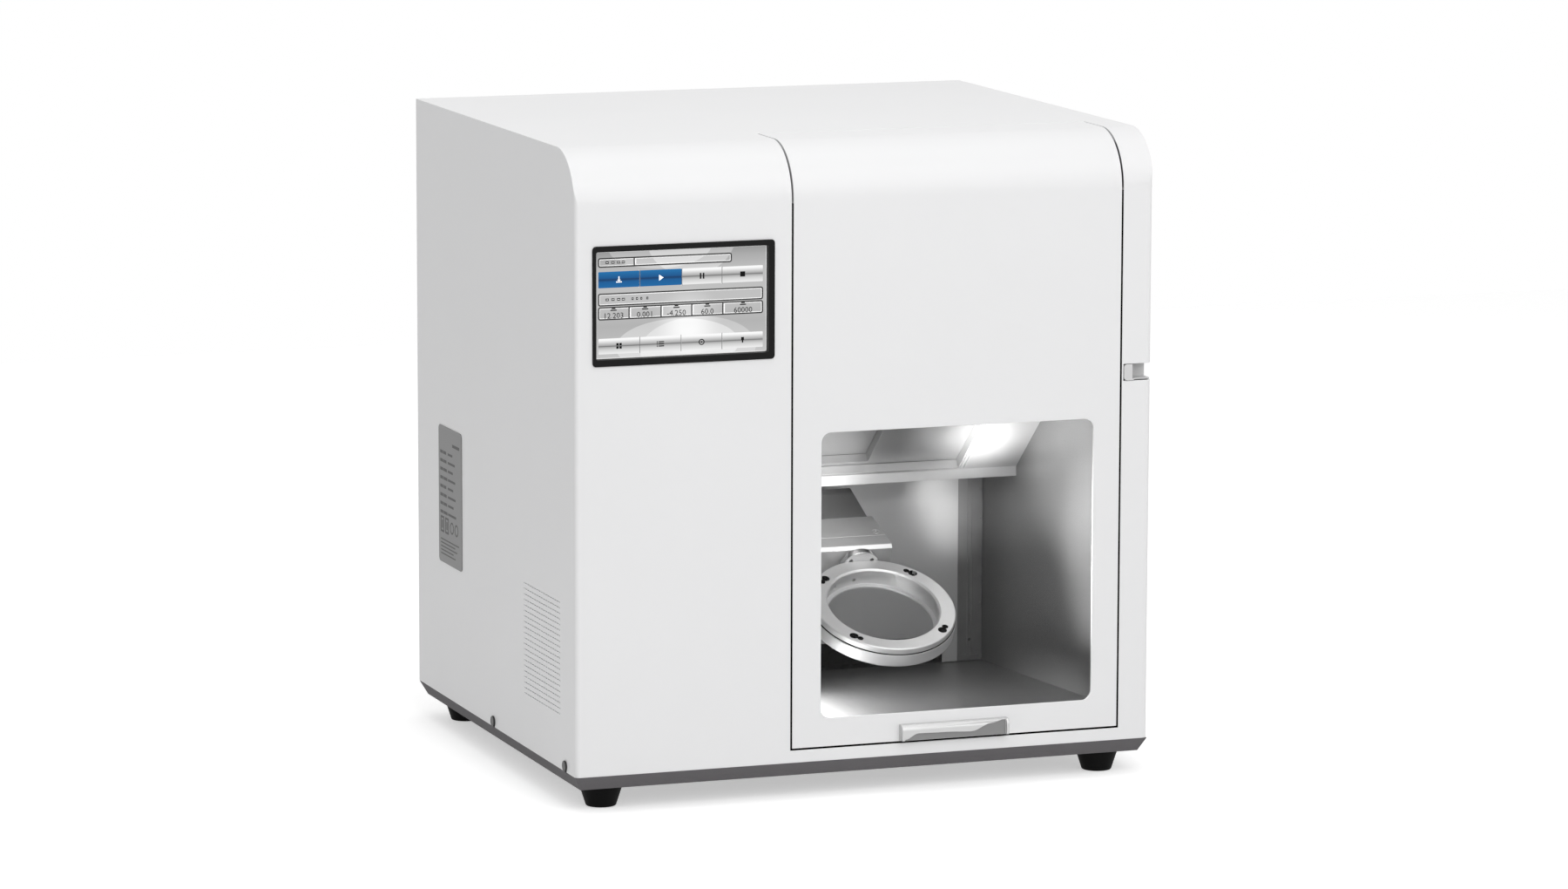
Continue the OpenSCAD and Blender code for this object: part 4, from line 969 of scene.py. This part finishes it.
    def _words(self, up: float, words: Sequence[Point]) -> None:
        """A row of short bars with a light core, which stand for words.

        Args:
            up: the middle of the row, as a part of the height.
            words: each word's start, as a part of the width, and its width.
        """
        middle = up * self.face.height
        for start, width in words:
            left = start * self.face.width
            right = left + width
            self.over.bar(INK, Layer.LINE, left, middle - 1.0, right, middle + 1.0)
            self.over.bar(PALE_LINE, Layer.SHINE, left + 0.5, middle - 0.25, right - 0.5, middle + 0.25)

    def _numbers(self) -> None:
        """A number in each readout, with a small mark of two bars over it."""
        foot, mark = self.figure_foot * self.face.height, self.mark_foot * self.face.height
        for text, left, right in zip(self.readouts, self.readout_edges, self.readout_edges[1:]):
            middle = (left + right) / 2 * self.face.width
            self.over.digits(INK, Layer.LINE, text, (middle, foot), self.figure_size)
            self.over.bar(INK, Layer.LINE, middle - 2.6, mark, middle + 2.6, mark + 0.9)
            self.over.bar(INK, Layer.LINE, middle - 1.6, mark + 1.5, middle + 1.6, mark + 2.2)


@dataclass(frozen=True)
class PrintColumn:
    """A column of printed bars, in millimetres; step and spread make their right ends uneven."""

    left: float
    right: float
    low: float = 0.0
    high: float = 2.6
    step: int = 0
    spread: int = 1

    def end(self, row: int) -> float:
        """Where the bar of a row ends."""
        return self.right + (row * self.step) % self.spread


@dataclass
class RatingPlate:
    """Plain print on the side plate: a mark, rows of short bars, four simple signs and fine lines.

    All sizes are in millimetres. The mark is measured from the plate's right and top edges, the
    first row from its top, and the fine lines' ends from its right edge.
    """

    mark: Rect = Rect(26.0, 15.0, 6.0, 12.4)
    rows: int = 8
    first_row: float = 24.0
    pitch: float = 7.4
    columns: tuple[PrintColumn, ...] = (PrintColumn(5, 13), PrintColumn(14.2, 22, step=5, spread=4),
                                        PrintColumn(27, 40, 0.3, 2.3, step=7, spread=13))
    boxes: tuple[Rect, ...] = (Rect(5.5, 26, 15.5, 40), Rect(18.5, 26, 28.5, 40))
    rings: tuple[Point, ...] = ((38, 33), (51, 33))
    box_wall: float = 1.8
    ring_radii: Point = (5.2, 3.8)
    fine_rows: int = 5
    fine_top: float = 19.5
    fine_pitch: float = 3.1
    fine: PrintColumn = PrintColumn(6, 8, 0.0, 1.1, step=11, spread=17)

    def build(self) -> None:
        """Print the plate."""
        face = Face.left_of("rating_plate")
        over = Overlay(face)
        over.bar(PLATE_INK, Layer.PRINT, face.width - self.mark.left, face.height - self.mark.low,
                 face.width - self.mark.right, face.height - self.mark.top)
        for row in range(self.rows):
            foot = face.height - self.first_row - row * self.pitch
            for column in self.columns:
                over.bar(PLATE_INK, Layer.PRINT, column.left, foot + column.low, column.end(row),
                         foot + column.high)
        self._signs(over)
        for row in range(self.fine_rows):
            foot = self.fine_top - row * self.fine_pitch
            over.bar(PLATE_INK, Layer.PRINT, self.fine.left, foot, face.width - self.fine.end(row),
                     foot + self.fine.high)
        over.settle("plate_print", "frame", "plate")

    def _signs(self, over: Overlay) -> None:
        """Four plain signs in a row: two boxes with a bar inside and two rings.

        Args:
            over: the plate's print.
        """
        for box in self.boxes:
            over.tile(PLATE_INK, Layer.PRINT, box.rounded(0.8), box.inset(self.box_wall).rounded(0.4))
            over.bar(PLATE_INK, Layer.PRINT, box.left + 3.6, box.low + 3.5, box.right - 3.6, box.top - 3.5)
        for u, v in self.rings:
            over.tile(PLATE_INK, Layer.PRINT, *(disc(u, v, radius) for radius in self.ring_radii))


@dataclass
class DoorSeals:
    """Black foam that lines the gap round the door's straight part, in millimetres."""

    gap: float = 1.6
    thick: float = 0.8
    setback: float = 0.7
    depth: float = 18.0
    flange: float = 10.5
    bend: float = 48.0
    sunk: float = 0.1

    def build(self) -> None:
        """Line the sill and the right jamb, and the door's left flange."""
        low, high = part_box("door_skin")
        gap, thick, sunk = self.gap * MM, self.thick * MM, self.sunk * MM
        front = low.y + self.setback * MM
        back = front + self.depth * MM
        right, sill, top = high.x + gap, low.z - gap, high.z - self.bend * MM
        self._strip("sill_seal", "frame", (low.x - gap, front, sill - sunk), (right, back, sill + thick))
        self._strip("jamb_seal", "frame", (right - thick, front, sill + thick), (right + sunk, back, top))
        self._strip("door_edge_seal", "door", (low.x - thick, front, low.z + sunk),
                    (low.x + sunk, front + self.flange * MM, top))

    def _strip(self, name: str, body: str, low: Place, high: Place) -> None:
        """One foam strip, a plain box.

        Args:
            name: the piece's name.
            body: the body it rides on.
            low: its lower corner, in metres.
            high: its upper corner, in metres.
        """
        work = bmesh.new()
        bmesh.ops.create_cube(work, size=1.0)
        for vert in work.verts:
            vert.co = [first if side < 0 else last for side, first, last in zip(vert.co, low, high)]
        Piece(name, body, "rubber", FOAM).settle(link(name, made_mesh(name, work)))


@dataclass
class SmallRows:
    """Everything that repeats: vent bridges, rivets and rear screws, in millimetres."""

    vent_front: float = 40.3
    vent_back: float = 136.3
    vent_foot: float = 45.3
    vent_rows: int = 21
    vent_pitch: float = 4.6
    bridges: int = 16
    bridge: Place = (1.46, 1.6, 0.8)
    rivet: Place = (1.1, 0.5, 1.1)
    screws: int = 5
    screw: Place = (3.0, 1.3, 3.0)
    socket: Place = (1.3, 1.3, 0.7)
    screw_inset: Point = (7.0, 14.0)

    def build(self) -> None:
        """Lay out every row."""
        self._vents()
        self._rivets()
        self._rear_screws()

    def _vents(self) -> None:
        """Bridges that break each vent row into short slots."""
        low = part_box("hood")[0] / MM
        step = (self.vent_back - self.vent_front) / self.bridges
        start = (low.x + 0.75, low.y + self.vent_front + step / 2, low.z + self.vent_foot)
        Grid("vent_bridges", Shape.BLOCK, start, (0, step, 0), self.bridges, self.bridge,
             (0, 0, self.vent_pitch), self.vent_rows).build("frame", "white_paint", WHITE_COAT)

    def _rivets(self) -> None:
        """Two rows of flat rivets on the ribbed strip beside the back panel."""
        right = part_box("chamber_right_wall")[0].x / MM
        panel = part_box("chamber_back_panel")[1] / MM
        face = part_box("chamber_back_wall")[0].y / MM + 1.0
        inner = panel.x + 0.66 * (right - panel.x)
        for name, x, drop, pitch, count in (("strip_rivets", right - 1.8, 54, 24.8, 6),
                                            ("strip_rivets_inner", inner, 21, 10.5, 3)):
            Grid(name, Shape.DOME, (x, face, panel.z - drop), (0, 0, -pitch), count,
                 self.rivet).build("frame", "steel", STRIP_STEEL)

    def _rear_screws(self) -> None:
        """Screws down both edges of the rear panel, each with a socket."""
        low, high = (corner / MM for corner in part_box("rear_panel"))
        side, end = self.screw_inset
        rise = (high.x - low.x - 2 * side, 0, 0)
        step = (0, 0, (high.z - low.z - 2 * end) / (self.screws - 1))
        Grid("rear_screws", Shape.DOME, (low.x + side, high.y + 0.4, low.z + end), step, self.screws,
             self.screw, rise, 2).build("frame", "dark_steel", DARK_STEEL)
        Grid("rear_sockets", Shape.PRISM, (low.x + side, high.y + 1.4, low.z + end), step, self.screws,
             self.socket, rise, 2, 6, (90, 0, 0), (0, 60, 0)).build("frame", "black_plastic", BLACK_MOULD)


@dataclass
class TwoToneAndPaintedShade(EasedPart):
    """An eased part with a second finish on some of its faces: a real second tone on the arm's cover, and
    painted shade in the disc holder's pockets and the handle's scoop.
    """

    second: Finish = BLASTED

    def dress(self, mesh: Mesh) -> None:
        """Give the mesh its finish and the chosen faces the second one.

        Args:
            mesh: the eased mesh.
        """
        super().dress(mesh)
        mesh.materials.append(self.second.material())
        for face in self.chosen(mesh):
            mesh.polygons[face].material_index = 1

    def chosen(self, mesh: Mesh) -> set[int]:
        """The faces that take the second finish.

        Args:
            mesh: the eased mesh.
        Returns:
            The numbers of the faces.
        """
        return set()


@dataclass
class ArmCover(TwoToneAndPaintedShade):
    """The arm's lid: a pale screwed strip and a dark hood behind it."""

    def chosen(self, mesh: Mesh) -> set[int]:
        """The faces of the loose part that reaches furthest forward.

        Args:
            mesh: the eased mesh.
        Returns:
            The numbers of the faces.
        """
        work = bmesh.new()
        work.from_mesh(mesh)
        work.faces.ensure_lookup_table()
        left, parts = set(range(len(work.faces))), []
        while left:
            found, todo = set(), [left.pop()]
            while todo:
                face = todo.pop()
                found.add(face)
                near = {f.index for edge in work.faces[face].edges for f in edge.link_faces} & left
                left -= near
                todo += near
            parts.append(found)
        front = min(parts, key=lambda part: min(v.co.y for f in part for v in work.faces[f].verts))
        work.free()
        return front


class Pocket(Enum):
    """What takes painted shade on a part of the disc holder."""

    KEYHOLE_WALLS = "the walls of the clamp screws' keyholes"
    SEAT = "the seat that shows through the keyholes"


@dataclass
class PaintedShadePockets(TwoToneAndPaintedShade):
    """A part of the disc holder whose faces round the clamp screws are painted dark as shade, in millimetres.

    The keyholes' walls lie between the radii bore and rim, and the seat lies depth under the
    middle of the clamp ring. wall_tilt and seat_tilt bound how far a face looks along the axis.
    """

    pocket: Pocket = Pocket.KEYHOLE_WALLS
    bore: float = 49.8
    rim: float = 60.0
    depth: float = 3.0
    near: float = 0.3
    wall_tilt: float = 0.3
    seat_tilt: float = 0.9

    def chosen(self, mesh: Mesh) -> set[int]:
        """The faces inside the keyholes, or the seat that shows through them, which take painted shade.

        Args:
            mesh: the eased mesh.
        Returns:
            The numbers of the faces.
        """
        turn = next(joint for joint in frame["joints"] if joint["name"] == "b_rotate")
        axis = Vector((1, 0, 0)).cross(Vector(turn["axis"])).normalized()
        low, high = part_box("clamp_ring")
        middle = (Vector(low) + Vector(high)) / 2
        found = set()
        for face in mesh.polygons:
            arm = face.center - middle
            height, tilt = arm.dot(axis), face.normal.dot(axis)
            radius = (arm - axis * height).length / MM
            if self.pocket is Pocket.KEYHOLE_WALLS:
                take = self.bore < radius < self.rim and abs(tilt) < self.wall_tilt
            else:
                take = tilt > self.seat_tilt and abs(height / MM + self.depth) < self.near
            if take:
                found.add(face.index)
        return found


@dataclass
class ScoopedHandle(TwoToneAndPaintedShade):
    """The door's handle, whose set-back face is painted darker as shade in the scoop; setback and near are in
    millimetres.
    """

    setback: float = 2.4
    near: float = 0.3
    tilt: float = 0.9

    def chosen(self, mesh: Mesh) -> set[int]:
        """The faces that look forward from the scoop's depth, which take the painted shade.

        Args:
            mesh: the eased mesh.
        Returns:
            The numbers of the faces.
        """
        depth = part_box(self.node)[0].y + self.setback * MM
        return {face.index for face in mesh.polygons
                if face.normal.y < -self.tilt and abs(face.center.y - depth) < self.near * MM}


@dataclass(frozen=True)
class Lamp:
    """A lamp that the camera doesn't see; place and aim are in metres and power in watts."""

    name: str
    place: Place
    aim: Place
    power: float

    def hang(self, kind: str) -> Light:
        """Hang the lamp at its place and turn it to its aim.

        Args:
            kind: the kind of lamp.
        Returns:
            The lamp's own settings.
        """
        data = bpy.data.lights.new(self.name, kind)
        data.energy = self.power
        lamp = link(self.name, data)
        lamp.location = self.place
        lamp.rotation_euler = (Vector(self.aim) - Vector(self.place)).to_track_quat("-Z", "Y").to_euler()
        lamp.visible_camera = False
        return data


@dataclass(frozen=True)
class Softbox(Lamp):
    """A rectangular lamp; width and height are in metres, spread is its beam's width in degrees."""

    width: float
    height: float
    spread: float = 180.0

    def build(self) -> None:
        """Hang the lamp and set its size and beam."""
        data = self.hang("AREA")
        data.shape = "RECTANGLE"
        data.size = self.width
        data.size_y = self.height
        data.spread = math.radians(self.spread)


@dataclass(frozen=True)
class Spot(Lamp):
    """A small soft spot lamp inside the milling chamber; cone is its width in degrees."""

    cone: float
    radius: float = 0.012

    def build(self) -> None:
        """Hang the lamp and set its cone."""
        data = self.hang("SPOT")
        data.spot_size = math.radians(self.cone)
        data.spot_blend = 1.0
        data.shadow_soft_size = self.radius


LAMPS = (
    Softbox("front softbox", (0.2, -2.5, 1.9), (0.0, 0.0, 0.35), 35.2, 2.2, 2.2),
    Softbox("top softbox", (-0.3, -0.2, 2.4), (0.0, 0.0, 0.5), 12.5, 2.0, 2.0),
    Softbox("chamber strip light", (0.08, -0.203, 0.290), (0.06, -0.04, 0.12), 0.22, 0.24, 0.012),
    Softbox("floor corner light", (-0.052, -0.13, 0.080), (-0.022, -0.13, 0.056), 1.1, 0.15, 0.008, 82),
    Spot("ceiling wash", (0.14, -0.10, 0.14), (0.172, -0.04, 0.262), 1.2, 56),
    Spot("ceiling glow", (0.13, -0.17, 0.20), (0.174, -0.035, 0.258), 4.5, 28),
    Spot("cover wash", (0.03, -0.20, 0.20), (0.03, 0.0, 0.24), 2.5, 40),
    Spot("right wall high", (0.05, -0.12, 0.19), (0.221, -0.12, 0.26), 4.0, 75),
    Spot("right wall front", (0.06, -0.16, 0.20), (0.221, -0.19, 0.19), 4.0, 70),
    Spot("right wall low", (0.17, -0.19, 0.10), (0.221, -0.15, 0.14), 0.3, 90),
    Spot("back panel glow", (0.17, -0.10, 0.20), (0.192, 0.068, 0.165), 0.95, 22),
    Spot("back panel top", (0.19, -0.05, 0.20), (0.190, 0.068, 0.18), 0.4, 45),
    Spot("arm light", (0.03, -0.19, 0.25), (0.04, -0.02, 0.185), 0.8, 30),
)


def backdrop_rays(tree: NodeTree) -> NodeSocket:
    """One for a ray that sees the backdrop: straight on, in a shine or through the pane.

    Args:
        tree: the node tree the nodes go in.
    Returns:
        The output that carries it.
    """
    path = add_node(tree, "ShaderNodeLightPath").outputs
    seen = path["Is Camera Ray"]
    for kind in ("Is Glossy Ray", "Is Transmission Ray"):
        seen = add_node(tree, "ShaderNodeMath", {0: seen, 1: path[kind]}, operation="MAXIMUM").outputs[0]
    return seen


@dataclass(frozen=True)
class PaleFloor(Surface):
    """The floor's pale paint, which a ray that sees the backdrop finds white outside the shadow."""

    name: str = "pale floor"
    glow: float = 0.49

    def paint(self, made: Material, tree: NodeTree, shader: Node) -> None:
        """Set the shader, and its glow for those rays.

        Args:
            made: the material.
            tree: its node tree.
            shader: its shader.
        """
        glow = add_node(tree, "ShaderNodeMath", {0: backdrop_rays(tree), 1: self.glow}, operation="MULTIPLY")
        feed(tree, shader, {
            "Base Color": (*grey(0.80), 1.0), "Roughness": 0.9, "Specular IOR Level": 0.1,
            "Emission Color": WHITE, "Emission Strength": glow.outputs[0],
        })


@dataclass
class Studio:
    """Camera, lamps, floor and backdrop; eye is in millimetres from the hood's lower front."""

    lens: float = 147.82
    azimuth: float = 19.9815
    elevation: float = 8.9993
    roll: float = 0.1619
    eye: Place = (-1829.77, -4834.0, 1077.94)
    even_light: float = 0.545
    floor_reach: float = 2.4
    floor_gap: float = 0.0005

    def build(self) -> None:
        """Set the studio up."""
        self._camera()
        self._world()
        self._floor()
        for lamp in LAMPS:
            lamp.build()
        bpy.context.scene.view_settings.view_transform = "Standard"

    def _camera(self) -> None:
        """A long lens in front of the machine's left corner."""
        data = bpy.data.cameras.new("camera")
        data.lens = self.lens
        data.sensor_width = 36.0
        data.clip_start, data.clip_end = 0.1, 50.0
        cam = link("camera", data)
        turns = ((-self.azimuth, "Z"), (90.0 - self.elevation, "X"), (self.roll, "Z"))
        around, tilt, roll = (Matrix.Rotation(math.radians(angle), 4, axis) for angle, axis in turns)
        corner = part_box("hood")[0]
        place = Vector(self.eye) * MM + Vector((0.0, corner.y, corner.z))
        cam.matrix_world = Matrix.Translation(place) @ around @ tilt @ roll
        bpy.context.scene.camera = cam

    def _world(self) -> None:
        """Even light all round, with a white field behind the machine."""
        world = bpy.data.worlds.new("studio")
        bpy.context.scene.world = world
        world.use_nodes = True
        tree = world.node_tree
        plain = tree.nodes["Background"]
        feed(tree, plain, {"Color": WHITE, "Strength": self.even_light})
        seen = add_node(tree, "ShaderNodeBackground", {"Color": WHITE, "Strength": 1.0})
        mix = add_node(tree, "ShaderNodeMixShader", {
            "Fac": backdrop_rays(tree), 1: plain.outputs["Background"], 2: seen.outputs["Background"],
        })
        feed(tree, tree.nodes["World Output"], {"Surface": mix.outputs["Shader"]})

    def _floor(self) -> None:
        """A wide pale floor just under the feet."""
        work = bmesh.new()
        bmesh.ops.create_grid(work, x_segments=1, y_segments=1, size=self.floor_reach)
        floor = link("floor", made_mesh("floor", work))
        floor.location.z = -self.floor_gap
        floor.data.materials.append(PaleFloor().material())


EasedParts = tuple[EasedPart, ...]
PlainNodes = tuple[tuple[Finish, tuple[str, ...]], ...]


@dataclass(frozen=True)
class Assembly:
    """A sub-assembly of CAD nodes.

    eased parts take the place of their nodes, and their radii are in millimetres; plain nodes
    keep their shape and are listed by the finish that they get.
    """

    eased: EasedParts = ()
    plain: PlainNodes = ()

    def build(self) -> None:
        """Ease and dress every node."""
        for part in self.eased:
            part.build()
        for finish, nodes in self.plain:
            for node in nodes:
                dress(node, finish)


@dataclass(frozen=True)
class Housing(Assembly):
    """Hood, base pan and front frame, and what is fixed to them."""

    eased: EasedParts = (
        EasedPart("hood", "frame", "white_paint", WHITE_COAT, 0.45, 3),
        EasedPart("base_pan", "frame", "grey_paint", BASE_COAT, 0.5),
        EasedPart("front_frame", "frame", "white_paint", WHITE_COAT),
        EasedPart("screen_bezel", "frame", "black_plastic", BLACK_MOULD, 0.6, 3),
        EasedPart("data_port", "frame", "light_plastic", LIGHT_MOULD),
        EasedPart("rating_plate", "frame", "plate", PLATE, 0.15),
        EasedPart("hem_screws", "frame", "dark_steel", DARK_STEEL, 0.5, 3),
    )
    plain: PlainNodes = (
        (RUBBER, ("foot_front_left", "foot_front_right", "foot_rear_left", "foot_rear_right")),
        (SCREEN_FACE, ("touch_screen",)),
        (BLACK_MOULD, ("screen_controller",)),
    )


@dataclass(frozen=True)
class Door(Assembly):
    """The door with its pane, handle and hinges."""

    eased: EasedParts = (
        EasedPart("door_skin", "door", "white_paint", WHITE_COAT, 0.45, 3),
        ScoopedHandle("door_handle", "door", "satin_metal", BLASTED, 0.4, 3, SCOOP_PAINTED_SHADE),
    )
    plain: PlainNodes = (
        (PANE, ("window_pane",)),
        (SEAL, ("window_gasket",)),
        (DARK_STEEL, ("hinge_base_left", "hinge_base_right", "hinge_leaf_left", "hinge_leaf_right")),
        (TURNED, ("hinge_pins",)),
        (BLACK_MOULD, ("door_magnet",)),
    )


@dataclass(frozen=True)
class Chamber(Assembly):
    """The milling chamber's steel sheets and sliding covers."""

    eased: EasedParts = tuple(EasedPart(node, body, "steel", finish, 0.2) for node, body, finish in (
        ("chamber_floor", "frame", FLOOR_LINER_PAINTED_SHADE),
        ("chamber_left_wall", "frame", WALL_LINER_PAINTED_SHADE),
        ("chamber_right_wall", "frame", WALL_LINER_PAINTED_SHADE),
        ("chamber_back_panel", "frame", BACK_PANEL_PAINTED_LIGHT),
        ("chamber_back_wall", "frame", STRIP_STEEL),
        ("chamber_ceiling", "frame", CEILING_LINER_PAINTED_LIGHT),
        ("inner_cover_plate", "x_carriage", COVER_STEEL),
        ("middle_cover_plate", "middle_cover", COVER_STEEL),
    ))


@dataclass(frozen=True)
class SwingArm(Assembly):
    """The tilting arm and the disc holder that turns in it."""

    eased: EasedParts = (
        EasedPart("swing_arm", "a_arm", "satin_metal", BLASTED, 0.6, 3),
        ArmCover("arm_cover", "a_arm", "aluminium", GREY_ANODISED),
        EasedPart("ring_hub", "b_ring", "steel", TURNED, 0.4),
        PaintedShadePockets("disc_holder", "b_ring", "satin_metal", BLASTED, 0.5, 3, BLACK_SCREWS_AND_POCKET_SHADE, Pocket.SEAT),
        PaintedShadePockets("clamp_ring", "b_ring", "satin_metal", BLASTED, 0.35, 3, BLACK_SCREWS_AND_POCKET_SHADE),
        EasedPart("clamp_screws", "b_ring", "dark_steel", BLACK_SCREWS_AND_POCKET_SHADE, 0.2),
    )


@dataclass(frozen=True)
class Rear(Assembly):
    """The rear panel with its fittings, and the closed units behind it."""

    eased: EasedParts = (
        EasedPart("rear_panel", "frame", "white_paint", WHITE_COAT, 0.2),
        EasedPart("power_inlet", "frame", "black_plastic", BLACK_MOULD),
        EasedPart("power_switch", "switch", "red_plastic", RED_MOULD, 0.4, 3),
        EasedPart("dust_spigot", "frame", "black_plastic", BLACK_MOULD, 0.5),
        EasedPart("air_fitting", "frame", "brass", BRASS, 0.4),
        EasedPart("fan_frame", "frame", "black_plastic", BLACK_MOULD, 0.4),
        EasedPart("fan_rotor", "fan_rotor", "black_plastic", BLACK_MOULD),
    )
    plain: PlainNodes = (
        (TURNED, ("fan_guard",)),
        (BLACK_MOULD, ("dust_plenum",)),
        (GREY_MOULD, ("control_box",)),
        (ANODISED, ("power_supply",)),
    )


@dataclass(frozen=True)
class Drives(Assembly):
    """Slides, gearbox and spindle, above and beside the chamber."""

    eased: EasedParts = (
        EasedPart("z_carriage", "z_carriage", "aluminium", ANODISED, 0.5),
        EasedPart("spindle_body", "z_carriage", "steel", TURNED),
        EasedPart("spindle_rotor", "spindle", "dark_steel", DARK_STEEL, 0.2),
    )
    plain: PlainNodes = (
        (ANODISED, ("gantry_frame", "x_module", "x_carriage", "y_module", "y_carriage", "z_module")),
        (COVER_STEEL, ("cover_bracket",)),
        (DARK_STEEL, ("a_gearbox",)),
        (TURNED, ("milling_tool",)),
    )


def main() -> None:
    """Build the machine's looks and report each piece."""
    logging.basicConfig(level=logging.INFO, format="%(relativeCreated)d ms: %(message)s")
    for unit in (Housing(), Door(), Chamber(), SwingArm(), Rear(), Drives(), TouchScreen(), RatingPlate(),
                 DoorSeals(), SmallRows(), Studio()):
        LOG.info("building %s", type(unit).__name__)
        unit.build()


if __name__ == "__main__":
    main()
